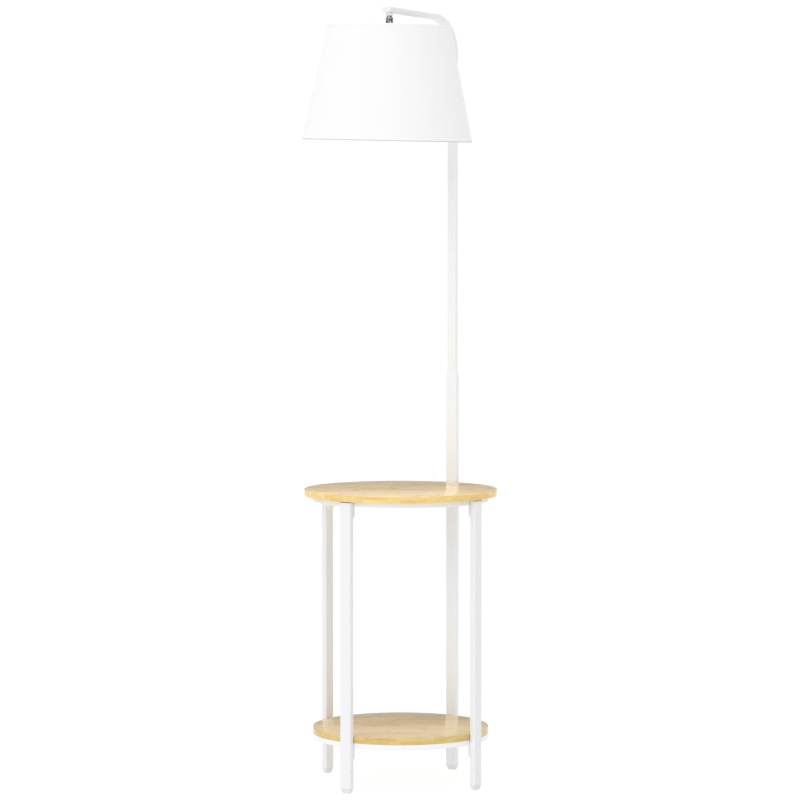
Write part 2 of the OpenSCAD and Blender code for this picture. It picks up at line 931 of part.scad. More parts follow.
module shade_ring() {
    color("white")
        in_head()
            translate([0, 0, seat_z - fitter_t - layer_gap - ring_h])
                difference() {
                    union() {
                        cylinder(d = ring_d, h = ring_flange_h);
                        cylinder(d = collar_d, h = ring_h);
                    }
                    translate([0, 0, -cut])
                        cylinder(d = ring_hole_d, h = ring_h + 2 * cut);
                }
}

// ---- shade ----

module wire_ring(z) {
    translate([0, 0, z])
        rotate_extrude()
            translate([wire_r(z), 0])
                circle(d = wire_d, $fn = 24);
}

// Top hoop and sloping arms, whose ends stand on the rim of the centre plate
module shade_top_frame() {
    hoop_z = shade_top - wire_d / 2;
    plate_z = seat_z - fitter_t / 2;
    start = wire_r(hoop_z);
    end = (fitter_d + ring_hole_d) / 4;
    run = start - end;
    drop = hoop_z - plate_z;
    color("white")
        in_head() {
            wire_ring(hoop_z);
            difference() {
                for (i = [0 : spokes - 1])
                    rotate([0, 0, 90 + i * 360 / spokes])
                        translate([end, 0, plate_z])
                            rotate([0, atan2(run, drop), 0])
                                cylinder(d = spoke_d, h = norm([run, drop]));
                translate([0, 0, seat_z - ring_h])
                    cylinder(d = fitter_d, h = ring_h);
                translate([0, 0, seat_z])
                    cylinder(d = collar_d + 2 * collar_gap, h = ring_h);
            }
        }
}

// Centre plate of the frame: the clamping ring holds it against the lampholder's collar
module shade_plate() {
    color("white")
        in_head()
            translate([0, 0, seat_z - fitter_t])
                difference() {
                    cylinder(d = fitter_d, h = fitter_t);
                    translate([0, 0, -cut])
                        cylinder(d = ring_hole_d, h = fitter_t + 2 * cut);
                }
}

module shade_bottom_ring() {
    color("white")
        in_head()
            wire_ring(shade_bottom + wire_d / 2);
}

// Cone-shaped sheet: its outer face lies `inset` inside the shade's outline
module cone_sheet(inset, t) {
    outer = inset;
    inner = inset + t;
    rotate_extrude($fn = 96)
        polygon([
            [shade_r(shade_top) - inner, shade_top],
            [shade_r(shade_top) - outer, shade_top],
            [shade_r(shade_bottom) - outer, shade_bottom],
            [shade_r(shade_bottom) - inner, shade_bottom]
        ]);
}

module shade_liner() {
    color("white")
        in_head()
            cone_sheet(fabric_t + layer_gap, liner_t);
}

module shade_fabric() {
    color("white")
        in_head()
            cone_sheet(0, fabric_t);
}

// ---- bulb ----

module bulb_cap() {
    color("silver")
        in_head()
            translate([0, 0, bulb_cap_bottom])
                cylinder(d = bulb_cap_d, h = bulb_cap_h);
}

module bulb_contact() {
    color("gray")
        in_head()
            translate([0, 0, bulb_cap_top])
                cylinder(d1 = bulb_tip_d, d2 = bulb_contact_d, h = bulb_tip_h);
}

// Housing that widens from the cap to the globe
module bulb_housing() {
    globe_r = bulb_d / 2;
    join_z = globe_z + globe_r * cos(asin(bulb_skirt_d / bulb_d));
    color("white")
        in_head()
            translate([0, 0, join_z])
                cylinder(d1 = bulb_skirt_d, d2 = bulb_cap_d, h = bulb_cap_bottom - join_z);
}

module bulb_globe() {
    globe_r = bulb_d / 2;
    join_z = globe_r * cos(asin(bulb_skirt_d / bulb_d));
    color("floralwhite")
        in_head()
            translate([0, 0, globe_z])
                difference() {
                    sphere(d = bulb_d);
                    sphere(d = bulb_d - 2 * bulb_wall);
                    translate([0, 0, join_z])
                        cylinder(d = bulb_d, h = bulb_d);
                }
}

// ---- wiring ----

// Rubber grommet in the pole's outer wall, where the cord goes in
module cord_grommet() {
    bore = flex_d + screw_gap;
    color("lightgray")
        at_corner(BACK)
            translate([leg_face - leg_wall, 0, outlet_h])
                rotate([0, 90, 0])
                    difference() {
                        union() {
                            cylinder(d = grommet_d - plug_gap, h = leg_wall);
                            translate([0, 0, leg_wall])
                                cylinder(d = grommet_flange_d, h = grommet_flange_t);
                        }
                        translate([0, 0, -cut])
                            cylinder(d = bore, h = leg_wall + grommet_flange_t + 2 * cut);
                    }
}

// Flex from the grommet up the pole, along the arm and down into the swivel
module pole_flex() {
    color("dimgray") {
        along_arm(outlet_h - flex_d / 2, flex_d / 2, flex_offset) {
            circle(d = flex_d);
            circle(d = flex_d - 2 * arm_step);
        }
        at_corner(BACK)
            translate([flex_offset, 0, outlet_h])
                rotate([0, 90, 0])
                    cylinder(d = flex_end_d, h = leg_face - flex_offset + grommet_flange_t);
        at_pivot()
            translate([0, 0, cheek_r])
                cylinder(d = flex_end_d, h = arm_h + flex_offset - pivot_z - cheek_r);
    }
}

// Flex from the swivel down to the lampholder's terminals
module head_flex() {
    color("dimgray")
        in_head()
            translate([0, 0, neck_z])
                cylinder(d = flex_d, h = -cheek_r - neck_z);
}

// ---- nodes ----

tabletop();
lower_shelf();
hoop(table_bottom);  // hoop_upper
hoop(shelf_bottom);  // hoop_lower
at_corner(FRONT) short_leg();  // leg_front
at_corner(LEFT) short_leg();  // leg_left
at_corner(RIGHT) short_leg();  // leg_right
at_corner(BACK) pole_lower();
at_corner(FRONT) foot();  // foot_front
at_corner(LEFT) foot();  // foot_left
at_corner(RIGHT) foot();  // foot_right
at_corner(BACK) foot();  // foot_back
leg_caps();
leg_bolts();
leg_inserts();
board_screws();
at_corner(BACK) pole_connector();
connector_screws();
arm_tube();
arm_end_cap();
arm_boss();
arm_nipple();
arm_nut();
swivel_upper();
swivel_lower();
swivel_screw();
swivel_nut();
holder_nipple();
holder_cap();
holder_body();
holder_insulator();
holder_screw_shell();
holder_contact();
holder_terminals();
shade_ring();
shade_top_frame();
shade_plate();
shade_bottom_ring();
shade_liner();
shade_fabric();
bulb_cap();
bulb_contact();
bulb_housing();
bulb_globe();
cord_grommet();
pole_flex();
head_flex();
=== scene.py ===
"""Floor lamp with a two-tier round table: the looks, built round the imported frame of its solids.

Shapes are drawn in millimetres, as the solids are, and mesh_object() turns them into metres. Settings and
finishes are in metres. +Z is up, the pole and the arm stand in the YZ plane, and the arm points to -Y.
What hangs below the swivel is drawn in the head's own frame, whose origin is the swivel's pivot and whose
Z runs up the leaned axis of the shade.
"""

import json
from math import cos, pi, radians, sin, tan

import bpy
import numpy as np
from bpy.props import FloatProperty, FloatVectorProperty, IntProperty, PointerProperty
from bpy.types import Operator, Panel, PropertyGroup
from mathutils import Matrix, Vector


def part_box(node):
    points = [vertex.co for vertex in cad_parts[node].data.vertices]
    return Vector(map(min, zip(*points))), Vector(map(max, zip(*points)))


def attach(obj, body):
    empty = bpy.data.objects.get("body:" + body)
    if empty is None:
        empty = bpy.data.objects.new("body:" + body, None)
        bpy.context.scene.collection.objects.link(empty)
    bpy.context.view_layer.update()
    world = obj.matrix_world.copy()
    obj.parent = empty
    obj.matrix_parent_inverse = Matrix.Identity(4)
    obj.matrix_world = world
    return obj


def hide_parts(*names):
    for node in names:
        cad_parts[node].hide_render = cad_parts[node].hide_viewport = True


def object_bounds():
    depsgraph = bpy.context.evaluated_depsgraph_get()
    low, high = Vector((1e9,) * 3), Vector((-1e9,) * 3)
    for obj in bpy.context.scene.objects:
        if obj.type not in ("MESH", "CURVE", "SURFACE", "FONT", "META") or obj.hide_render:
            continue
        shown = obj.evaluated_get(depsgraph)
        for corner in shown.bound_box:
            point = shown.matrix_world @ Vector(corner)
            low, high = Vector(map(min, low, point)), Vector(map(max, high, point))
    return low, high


bl_info = {
    "name": "Floor lamp with table",
    "version": (1, 0, 0),
    "blender": (4, 5, 0),
    "location": "3D View > Sidebar > Floor lamp",
    "description": "Builds a floor lamp on a two-tier round table round its packed frame",
    "category": "Object",
}

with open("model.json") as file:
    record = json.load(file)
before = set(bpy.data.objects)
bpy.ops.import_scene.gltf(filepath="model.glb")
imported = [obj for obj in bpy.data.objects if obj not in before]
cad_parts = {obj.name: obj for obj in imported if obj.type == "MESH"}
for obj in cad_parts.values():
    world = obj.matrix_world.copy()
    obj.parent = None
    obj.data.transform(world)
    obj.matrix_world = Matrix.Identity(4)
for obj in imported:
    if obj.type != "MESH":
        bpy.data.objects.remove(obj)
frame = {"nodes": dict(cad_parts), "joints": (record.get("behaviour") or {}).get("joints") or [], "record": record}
CAD_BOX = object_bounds()
JOINTS = {joint["name"]: joint for joint in frame["joints"]}
SLOTS = {row["node"]: row["material_slot"] for row in frame["record"]["subparts"]}
BODIES = {node: body for body, nodes in frame["record"]["behaviour"]["bodies"].items() for node in nodes}
MM = 0.001                                # a millimetre, in metres


class Place:
    """Where a CAD node stands, in millimetres: its lowest and highest corners and its size."""

    def __init__(self, node):
        self.low, self.high = (np.array(corner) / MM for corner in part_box(node))
        self.size = self.high - self.low


TOP = Place("tabletop")
SHELF = Place("lower_shelf")
LEG = Place("leg_front")
POLE = Place("pole_lower")
ARM = Place("arm_tube")

# ---- sizes of the stand ----

TABLE_Y = (SHELF.low[1] + SHELF.high[1]) / 2
LEG_CIRCLE = 180                          # from the table's centre to the middle of each leg
LEG_T, LEG_W = LEG.size[1], LEG.size[0]
LEG_CORNER = 3
ARM_T, ARM_W = 11, ARM.size[0]
ARM_CORNER = 2.5
PLUG = 2.6                                # a plug is this much smaller than the tube round it
GAP = 0.3                                 # between a board or a hoop and the legs
BAR = 4                                   # thickness of the hoops and brackets
HOOP_H = 10
HOOP_R = LEG_CIRCLE - LEG_T / 2 - GAP - BAR / 2
BRACKET_X = -LEG_T / 2 - BAR              # a bracket's inner face, from the middle of its leg
LUG_T, LUG_L = 3, 22                      # the lug is a bracket's part under the board
BOLT_FALL = 21                            # from a board's underside down to the bolts
CORNERS = {"right": 0, "back": 1, "left": 2, "front": 3}  # quarter turns from +X
SHORT_LEGS = ("front", "left", "right")
OUTLET_Z = 50                             # height of the cord's outlet
OUTLET_R = 4.2
GRUB_X, GRUB_Z, GRUB_R = -6, 18, 2.1      # grub screws: aside, from the shoulder, and their hole's radius

# ---- sizes of the arm and the head ----

PIVOT = np.array(JOINTS["shade_tilt"]["pos_m"]) / MM
DOWN = np.array(JOINTS["bulb_release"]["axis"])
ARM_RISE = radians(3)                     # the arm rises towards its tip
ARM_H = 1521                              # the arm's centre line over the shade
ARM_END = 9                               # length of the arm past the shade's axis
BEND = 70                                 # centre-line radius of the bend
POLE_Y = ARM.high[1] - ARM_T / 2
POLE_BACK = POLE_Y + LEG_T / 2
ARM_RUN = POLE_Y - BEND + BEND * sin(ARM_RISE) - PIVOT[1]
BEND_Z = ARM_H - BEND * cos(ARM_RISE) - tan(ARM_RISE) * ARM_RUN
SHOULDER_TOP = ARM.low[2]
BOSS_Z = PIVOT[2] + 14.2                  # the boss's lower end

# Heights from the pivot, along the axis of the shade
CAP_Z = -14.2
NECK_Z = -30.2
SHELL_TOP = -39.2
BULB_CAP_TOP = -43.1
SEAT_Z = -48.2
BULB_CAP_LOW = -66.1
MOUTH_Z = -70.2
GLOBE_Z = -119.1
SHADE_TOP = -6.3
SHADE_LOW = -228.3

NIPPLE_R = 5
HOLDER_R = 19                             # outside of the lampholder's cap and body
HOLDER_BORE = 14
SEAT_R = 22                               # its collar, which carries the shade
RING_BORE = 19.3                          # of the clamping ring and of the shade's plate
BULB_CAP_R = 13
GLOBE_R = 30
SHADE_R_TOP = 120
SHADE_R_LOW = 166.5
SLOPE = (SHADE_R_LOW - SHADE_R_TOP) / (SHADE_TOP - SHADE_LOW)
SLANT = np.hypot(1, SLOPE)
CLOTH_TOP = SHADE_TOP + 3                 # the cloth stands a little past both hoops
CLOTH_LOW = SHADE_LOW - 1
CLOTH_TALL = (CLOTH_TOP - CLOTH_LOW) * SLANT
FABRIC_T = 0.7
LINER_T = 0.5
SEAM = 1.1 * pi / 2                       # angle of the fabric's seam, which is near the back
WIRE = 3
SPOKE = 2.8

# ---- the view and the room ----

CAMERA_SPOT = (4.1556, -5.8332, 1.1775)   # in metres, fitted to the photograph
CAMERA_HEADING = (-0.5799, 0.8147)
CAMERA_PITCH = radians(3.36)
FLOOR_REACH, FLOOR_T = 150_000, 200       # half the floor's width, and its thickness
KEY_SOURCE, KEY_WIDTH = (0.08, -0.96, 0.20), 50  # towards the key light, and its width in degrees
WHITE = 1.05                              # strength of the white that the camera sees
REAR = (-0.581, 0.814)                    # side of the room behind the lamp, as x and y
STRIP = (0.934, -0.347)                   # side with the bright strip
SHADOW = (0.58, -0.81)                    # side with the dark strip


# ---- settings that a user would change ----


def length(name, description, millimetres, least=0.0):
    """A length, given in millimetres and kept in metres."""
    return FloatProperty(name=name, description=description, default=millimetres * MM,
                         min=least * MM, unit="LENGTH", subtype="DISTANCE", precision=5)


def colour(name, description, *rgb):
    """A colour, in linear light."""
    return FloatVectorProperty(name=name, description=description, default=rgb, size=3,
                               min=0.0, max=1.0, subtype="COLOR")


def number(name, description, default, least, most, **options):
    """A number between two limits."""
    return FloatProperty(name=name, description=description, default=default, min=least, max=most, **options)


class LampBoards(PropertyGroup):
    edge: length("Edge rounding", "Rounding of the long edges of both boards", 1.8, 0.2)
    strip: length("Strip width", "Width of the bamboo strips that the boards are glued from", 20, 5)
    block: length("Block length", "Mean length of the blocks that a strip is joined from", 75, 20)
    joint: length("Node spacing", "Mean distance between the bamboo's nodes along a strip", 190, 50)
    turn: number("Grain turn", "Turn of the grain from the X axis", radians(35), -pi, pi, subtype="ANGLE")
    # painted shade: the shelf tone darkens the shelf's copy of the bamboo, for the shade it lies in under the
    # table top
    shelf: number("Shelf tone", "Brightness of the shelf's bamboo beside the top's", 0.82, 0.3, 1.2)
    light: colour("Light bamboo", "Palest strips", 0.95, 0.752, 0.395)
    dark: colour("Dark bamboo", "Darkest strips", 0.70, 0.493, 0.185)
    rim: colour("Rim", "Bamboo on the turned rim", 0.88, 0.68, 0.29)


class LampTubes(PropertyGroup):
    bead: length("Weld bead", "Radius of the weld beads between hoops and brackets", 1.4, 0.3)
    bar_edge: length("Bar edge", "Rounding of the edges of the flat bar", 0.7, 0.1)
    paint: colour("Paint", "White powder coat of the arm, the hoops and the small steel pieces",
                  0.856, 0.863, 0.872)
    # painted shade: the short legs get a darker copy of the same white coat, standing in for the lower light on
    # them
    legs: colour("Leg paint", "White powder coat of the short legs", 0.811, 0.816, 0.826)
    # painted light: the pole gets a bluer copy of the same white coat, which cancels the warm light bounced onto
    # it from the boards
    pole: colour("Pole paint", "White powder coat of the lower pole tube", 0.846, 0.870, 0.915)
    foot: colour("Feet", "Light grey plastic of the feet and the grommet", 0.74, 0.74, 0.74)


class LampHead(PropertyGroup):
    thread: length("Lampholder thread", "Pitch of the thread outside the lampholder", 3, 1)
    thread_depth: length("Thread depth", "Depth of that thread", 0.8, 0.1)
    bulb_thread: length("Bulb thread", "Pitch of the rolled thread of the bulb's cap", 3.62, 1)
    grips: IntProperty(name="Grips", description="Number of grip notches round the clamping ring",
                       default=24, min=8, max=60)
    plastic: colour("Plastic", "White plastic of the lampholder, its ring, the bulb's housing and the end cap",
                    0.88, 0.885, 0.89)


class LampShade(PropertyGroup):
    hem: length("Hem", "Width of the rolled hems at the top and the bottom of the fabric", 6, 2)
    lap: length("Lap", "Overlap of the fabric at its seam", 9, 3)
    yarn: length("Yarn spacing", "Distance from one yarn to the next", 0.62, 0.2)
    fabric: colour("Fabric", "White fabric of the shade", 0.87, 0.87, 0.873)
    liner: colour("Liner", "White film behind the fabric", 0.90, 0.90, 0.89)


class LampStage(PropertyGroup):
    ambient: number("Ambient light", "Strength of the light from all sides", 0.69, 0.0, 3.0)
    key: number("Key light", "Strength of the soft light from the front", 0.75, 0.0, 10.0)
    focal: number("Focal length", "Focal length of the camera, on a 36 mm frame", 163.94, 20.0, 400.0,
                  unit="CAMERA")


SETTINGS = {"lamp_boards": LampBoards, "lamp_tubes": LampTubes, "lamp_head": LampHead,
            "lamp_shade": LampShade, "lamp_stage": LampStage}


# ---- curves ----


def columns(*parts):
    """Numbers and arrays side by side, as the coordinates of points."""
    return np.stack(np.broadcast_arrays(*parts), axis=-1)


def full_turn(steps):
    """Angles all the way round, without the last, which is the first again."""
    return np.arange(steps) * 2 * pi / steps


def polar(r, a):
    """x = r cos a and y = r sin a."""
    return r * np.cos(a), r * np.sin(a)


def eased(share):
    """Smooth step from 0 to 1: s * s * (3 - 2 s)."""
    return share * share * (3 - 2 * share)


def arc(centre, radius, start, end, steps):
    """Points (x, y) on a circle from one angle to another, in degrees."""
    x, y = polar(radius, np.radians(np.linspace(start, end, steps + 1)))
    return columns(centre[0] + x, centre[1] + y).tolist()


def box_outline(t, w, r, steps=6):
    """Rounded rectangle, t by w: four quarter circles of radius r about the corners' centres. The sizes
    may be arrays, which give one outline per row."""
    t, w, r = (np.asarray(v, float)[..., None] for v in (t, w, r))
    quarter = np.linspace(0, pi / 2, steps + 1)
    x, y = polar(r, (quarter + full_turn(4)[:, None]).ravel())
    side_x = np.repeat([1, -1, -1, 1], steps + 1)
    side_y = np.repeat([1, 1, -1, -1], steps + 1)
    return columns(side_x * (t / 2 - r) + x, side_y * (w / 2 - r) + y)


def polygon_radius(flats, sides, a):
    """Radius at angle a of a regular polygon with that width across its flats."""
    step = 2 * pi / sides
    return flats / 2 / np.cos((a + step / 2) % step - step / 2)


def cross_radius(long, wide, a):
    """Radius at angle a of a cross with arms of that length and width."""
    fold = np.abs((a + pi / 4) % (pi / 2) - pi / 4)
    return np.minimum(long / 2 / np.cos(fold), wide / 2 / np.maximum(np.sin(fold), 1e-6))


# ---- surfaces on grids ----
# A shell is a pair: points (n, 3), and a list of index arrays, each with one face per row.


def outward(points, faces):
    """Turns a closed shell's faces outwards. Its volume is a sixth of the sum, over all faces cut into
    fans, of a . (b x c); where that is negative, every face is reversed."""
    total = 0.0
    middle = points.mean(0)
    for block in faces:
        corner = points[block] - middle
        b, c = corner[:, 1:-1], corner[:, 2:]
        total += (np.cross(b, c) * corner[:, :1]).sum()
    return points, [block[:, ::-1] for block in faces] if total < 0 else faces


def skin(rings, loop=False):
    """Closed skin over rings of points (rows, ring, 3): point (i, j) is joined to (i, j + 1), (i + 1, j + 1)
    and (i + 1, j), and each ring closes on itself. With loop the last row meets the first. Otherwise a
    first or last row that is one point becomes the tip of a fan, and any other gets a flat lid."""
    rows, ring = rings.shape[:2]
    index = np.arange(rows * ring).reshape(rows, ring)
    low = index if loop else index[:-1]
    high = np.roll(index, -1, axis=0) if loop else index[1:]
    low_next, high_next = (np.roll(side, -1, axis=1) for side in (low, high))
    quads = np.stack([low, low_next, high_next, high], axis=-1)
    first_is_tip, last_is_tip = (np.ptp(rings[row], axis=0).max() < 1e-6 for row in (0, -1))
    lids = []
    if not loop:
        if first_is_tip:
            lids.append(np.stack([np.full(ring, index[0, 0]), high_next[0], high[0]], axis=-1))
            quads = quads[1:]
        else:
            lids.append(index[0][None, ::-1])
        if last_is_tip:
            lids.append(np.stack([low[-1], low_next[-1], np.full(ring, index[-1, 0])], axis=-1))
            quads = quads[:-1]
        else:
            lids.append(index[-1][None])
    faces = [quads.reshape(-1, 4), *lids]
    used, renumbered = np.unique(np.concatenate([f.ravel() for f in faces]), return_inverse=True)
    cuts = np.cumsum([f.size for f in faces])[:-1]
    faces = [part.reshape(f.shape) for part, f in zip(np.split(renumbered.ravel(), cuts), faces)]
    return outward(rings.reshape(-1, 3)[used], faces)


def revolved(profile, steps=96, shape=None, loop=False):
    """A profile of (radius, height) turned about Z: the point at angle a is (r cos a, r sin a, z). Where
    shape is given, r becomes shape(r, z, a), which cuts threads, ribs and sockets."""
    a = full_turn(steps)
    r, z = (np.repeat(column[:, None], steps, axis=1) for column in np.array(profile, float).T)
    if shape:
        r = shape(r, z, a)
    return skin(columns(*polar(r, a), z), loop)


def swept(outline, spots, across, along, loop=False):
    """An outline carried along spots: each of its points is spot + x * across + y * along, row by row."""
    spots, across, along = (np.atleast_2d(np.asarray(v, float))[:, None] for v in (spots, across, along))
    return skin(spots + outline[..., 0:1] * across + outline[..., 1:2] * along, loop)


def loft(rows):
    """Rounded rectangles stacked up Z; each row is (height, t, w, corner radius)."""
    z, t, w, r = np.array(rows, float).T
    return swept(box_outline(t, w, r), columns(0, 0, z), (1, 0, 0), (0, 1, 0))


def leg_row(z, less=0.0, corner=LEG_CORNER):
    """A row for loft(): the leg tube's outline, smaller by less."""
    return z, LEG_T - less, LEG_W - less, corner


def arm_row(z, less=0.0, corner=ARM_CORNER):
    """A row for loft(): the arm tube's outline, smaller by less."""
    return z, ARM_T - less, ARM_W - less, corner


def leg_plug(z):
    """A row for loft(): a plug that fits inside the leg tube."""
    return leg_row(z, PLUG, 1.8)


def arm_plug(z):
    """A row for loft(): a plug that fits inside the arm tube."""
    return arm_row(z, PLUG, 1.4)


def wire(path, radius, loop=False, steps=12):
    """Round wire along a path: rings of the given radius, square to the path's own direction, which is
    the difference between the two neighbouring points. The first axis lies as near to Z as it can."""
    path = np.asarray(path, float)
    run = np.roll(path, -1, 0) - np.roll(path, 1, 0) if loop else np.gradient(path, axis=0)
    run /= np.linalg.norm(run, axis=1, keepdims=True)
    near = np.where(np.abs(run[:, 2:]) > 0.9, np.array([[1.0, 0, 0]]), np.array([[0, 0, 1.0]]))
    side = np.cross(run, near)
    side /= np.linalg.norm(side, axis=1, keepdims=True)
    return swept(columns(*polar(radius, full_turn(steps))), path, np.cross(side, run), side, loop)


def blob(radius, height, steps=20):
    """Flattened ball, as a spot of weld."""
    x, y = polar(1, np.linspace(-pi / 2, pi / 2, 9))
    x[[0, -1]] = 0
    return revolved(columns(radius * x, height * y), steps)


def thread(pitch, depth, low, high, fade):
    """Shape for revolved(): a helix that r falls into between two heights, by depth times half of
    1 - cos(2 pi z / pitch - a). The groove fades out near both ends."""
    def shape(r, z, a):
        wave = 0.5 - 0.5 * np.cos(2 * pi * z / pitch - a)
        reach = np.clip(np.minimum(z - low, high - z) / fade, 0, 1)
        return r - depth * wave * eased(reach)

    return shape


def screw(shank, head, deep, proud, socket_deep, socket):
    """A countersunk screw along -Z, its head's rim at z = 0 and its crown a little proud: a profile from
    the point to the crown. The radius in_socket stands for the socket's own outline, socket(angle)."""
    in_socket = 1000
    rows = [(0, -deep), (shank / 2 - 0.4, -deep), (shank / 2, 0.5 - deep), (shank / 2, (shank - head) / 2),
            (head / 2, 0), (head / 2, 0.15), (head / 2 - 0.35, 0.5 * proud),
            (head / 2 - 1.2, 0.88 * proud), (in_socket, proud), (in_socket, -socket_deep), (0, -socket_deep)]
    return revolved(rows, 96, lambda r, z, a: np.where(r == in_socket, socket(a), r))


# ---- places ----


def moved(shell, offset):
    """The same shell, shifted."""
    return shell[0] + np.asarray(offset), shell[1]


def framed(shell, origin, x, y, z):
    """A shell whose own axes become x, y and z about an origin."""
    return shell[0] @ np.array([x, y, z], float) + np.asarray(origin), shell[1]


def at_corner(shell, corner):
    """A shell drawn with X pointing away from the table's centre, about a leg's middle, set at a corner."""
    a = CORNERS[corner] * pi / 2
    out, side = np.array([cos(a), sin(a), 0]), np.array([-sin(a), cos(a), 0])
    return framed(shell, out * LEG_CIRCLE + (0, TABLE_Y, 0), out, side, (0, 0, 1))


def facing_back(shell, spot):
    """A shell drawn along Z, set at a spot so that its Z points to +Y."""
    return framed(shell, spot, (1, 0, 0), (0, 0, -1), (0, 1, 0))


def in_head(shell):
    """A shell drawn about the pivot, leaned as the shade leans."""
    return framed(shell, PIVOT, (-DOWN[2], 0, DOWN[0]), (0, 1, 0), -DOWN)


def arm_tip():
    """The end of the arm's centre line, its direction and its upward normal."""
    run = np.array([0, -cos(ARM_RISE), sin(ARM_RISE)])
    rise = np.array([0, sin(ARM_RISE), cos(ARM_RISE)])
    return run * ARM_END + (0, PIVOT[1], ARM_H), run, rise


def shade_radius(z):
    """The shade's outside radius at a height, counted from the pivot."""
    return SHADE_R_TOP + (SHADE_TOP - z) * SLOPE


def hoop_path(z, steps=180):
    """Points round a wire hoop that lies against the liner at a height, counted from the pivot."""
    radius = shade_radius(z) - FABRIC_T - LINER_T - 0.2 - WIRE / 2 * (1 + SLOPE)
    return columns(*polar(radius, full_turn(steps)), z)


# ---- pieces ----


def mesh_object(name, shells):
    """Puts shells into one mesh object of the given name."""
    points = np.concatenate([shell[0] for shell in shells]) * MM
    faces, start = [], 0
    for shell in shells:
        for block in shell[1]:
            faces.extend((block + start).tolist())
        start += len(shell[0])
    mesh = bpy.data.meshes.new(name)
    mesh.from_pydata(points.tolist(), [], faces)
    mesh.update()
    obj = bpy.data.objects.new(name, mesh)
    bpy.context.scene.collection.objects.link(obj)
    return obj


def modify(obj, kind, **settings):
    """Gives an object a modifier with these settings."""
    modifier = obj.modifiers.new(kind.lower(), kind)
    for key, value in settings.items():
        setattr(modifier, key, value)


def apply_modifiers(obj):
    """Applies an object's modifiers to its mesh."""
    graph = bpy.context.evaluated_depsgraph_get()
    mesh = bpy.data.meshes.new_from_object(obj.evaluated_get(graph))
    old, obj.data = obj.data, mesh
    obj.modifiers.clear()
    bpy.data.meshes.remove(old)
    mesh.name = obj.name


def piece(name, node, shells, finish=None, sharp=40, holes=()):
    """Makes the finished piece that stands for a CAD node: its mesh, and holes cut out of it."""
    obj = mesh_object(name, shells)
    if holes:
        cutter = mesh_object(name + "_cutter", holes)
        modify(obj, "BOOLEAN", operation="DIFFERENCE", solver="EXACT", object=cutter)
        apply_modifiers(obj)
        bpy.data.objects.remove(cutter)
    return dressed(obj, node, finish, sharp)


def turned(name, node, rows, steps=96, shape=None, loop=True, **options):
    """Makes a piece of the head that is turned about the shade's axis."""
    return piece(name, node, [in_head(revolved(rows, steps, shape, loop))], **options)


def softened(name, node, width):
    """A CAD node with its sharp edges rounded: its mesh is copied and merged, flat areas are made whole,
    and a bevel of the given width goes round every edge sharper than 35 degrees."""
    sharp = 35
    obj = frame["nodes"][node].copy()
    obj.data = obj.data.copy()
    obj.name = obj.data.name = name
    obj.parent = None
    for key in list(obj.keys()):
        del obj[key]
    bpy.context.scene.collection.objects.link(obj)
    modify(obj, "WELD", merge_threshold=0.002 * MM)
    modify(obj, "DECIMATE", decimate_type="DISSOLVE", angle_limit=radians(0.6))
    modify(obj, "BEVEL", width=width * MM, segments=2, limit_method="ANGLE", angle_limit=radians(sharp))
    apply_modifiers(obj)
    return dressed(obj, node, None, sharp)


def dressed(obj, node, finish, sharp):
    """Shades an object smooth up to the sharp angle, gives it a finish, which is its material slot's own
    unless named, and ties it to the body and the slot of the CAD node that it stands for."""
    obj.data.shade_smooth()
    obj.data.set_sharp_from_angle(angle=radians(sharp))
    obj.data.materials.clear()
    obj.data.materials.append(material(finish or SLOTS[node]))
    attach(obj, BODIES[node])
    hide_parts(node)
    return obj


# ---- nodes of materials ----


def math_node(operation, back=False):
    """A method of a signal that adds a Math node; with back, the signal is the node's last value."""
    def method(self, *others):
        values = (*others, self) if back else (self, *others)
        return self.nodes.add("ShaderNodeMath", {"operation": operation}, *values)

    return method


class Signal:
    """A value that runs through a node tree. Arithmetic on it adds Math nodes."""

    __add__ = math_node("ADD")
    __radd__ = math_node("ADD", back=True)
    __sub__ = math_node("SUBTRACT")
    __rsub__ = math_node("SUBTRACT", back=True)
    __mul__ = math_node("MULTIPLY")
    __truediv__ = math_node("DIVIDE")
    __abs__ = math_node("ABSOLUTE")
    floor = math_node("FLOOR")
    fraction = math_node("FRACT")
    sine = math_node("SINE")
    most = math_node("MAXIMUM")

    def __init__(self, nodes, socket):
        self.nodes = nodes
        self.socket = socket

    def off_half(self):
        """How far the part after the decimal point is from a half."""
        return abs(self.fraction() - 0.5)

    def between(self, low, high):
        """0 below low, 1 above high, and a smooth step between."""
        return self.nodes.add("ShaderNodeMapRange", {"interpolation_type": "SMOOTHSTEP"},
                              self, **{"From Min": low, "From Max": high})


class Nodes:
    """A node tree with its main shader."""

    def __init__(self, tree, shader):
        self.tree = tree
        self.shader = tree.nodes[shader]

    def feed(self, socket, value, node=None):
        """Gives one of a node's sockets a value or a signal."""
        sockets = (node or self.shader).inputs
        if isinstance(socket, str):
            found = [s for s in sockets if s.identifier == socket] or [s for s in sockets if s.name == socket]
            socket = found[0]
        else:
            socket = sockets[socket]
        if isinstance(value, Signal):
            self.tree.links.new(value.socket, socket)
        else:
            socket.default_value = value

    def add(self, kind, settings=None, *values, output=0, **named):
        """Adds a node: its settings first, then the values or links of its sockets."""
        node = self.tree.nodes.new(kind)
        for key, value in (settings or {}).items():
            setattr(node, key, value)
        for key, value in [*enumerate(values), *named.items()]:
            self.feed(key, value, node)
        found = [s for s in node.outputs if output in (s.identifier, s.name)] or [node.outputs[0]]
        return Signal(self, found[0])

    def axes(self, vector):
        """The three parts of a vector, as signals."""
        return [self.add("ShaderNodeSeparateXYZ", None, vector, output=axis) for axis in "XYZ"]


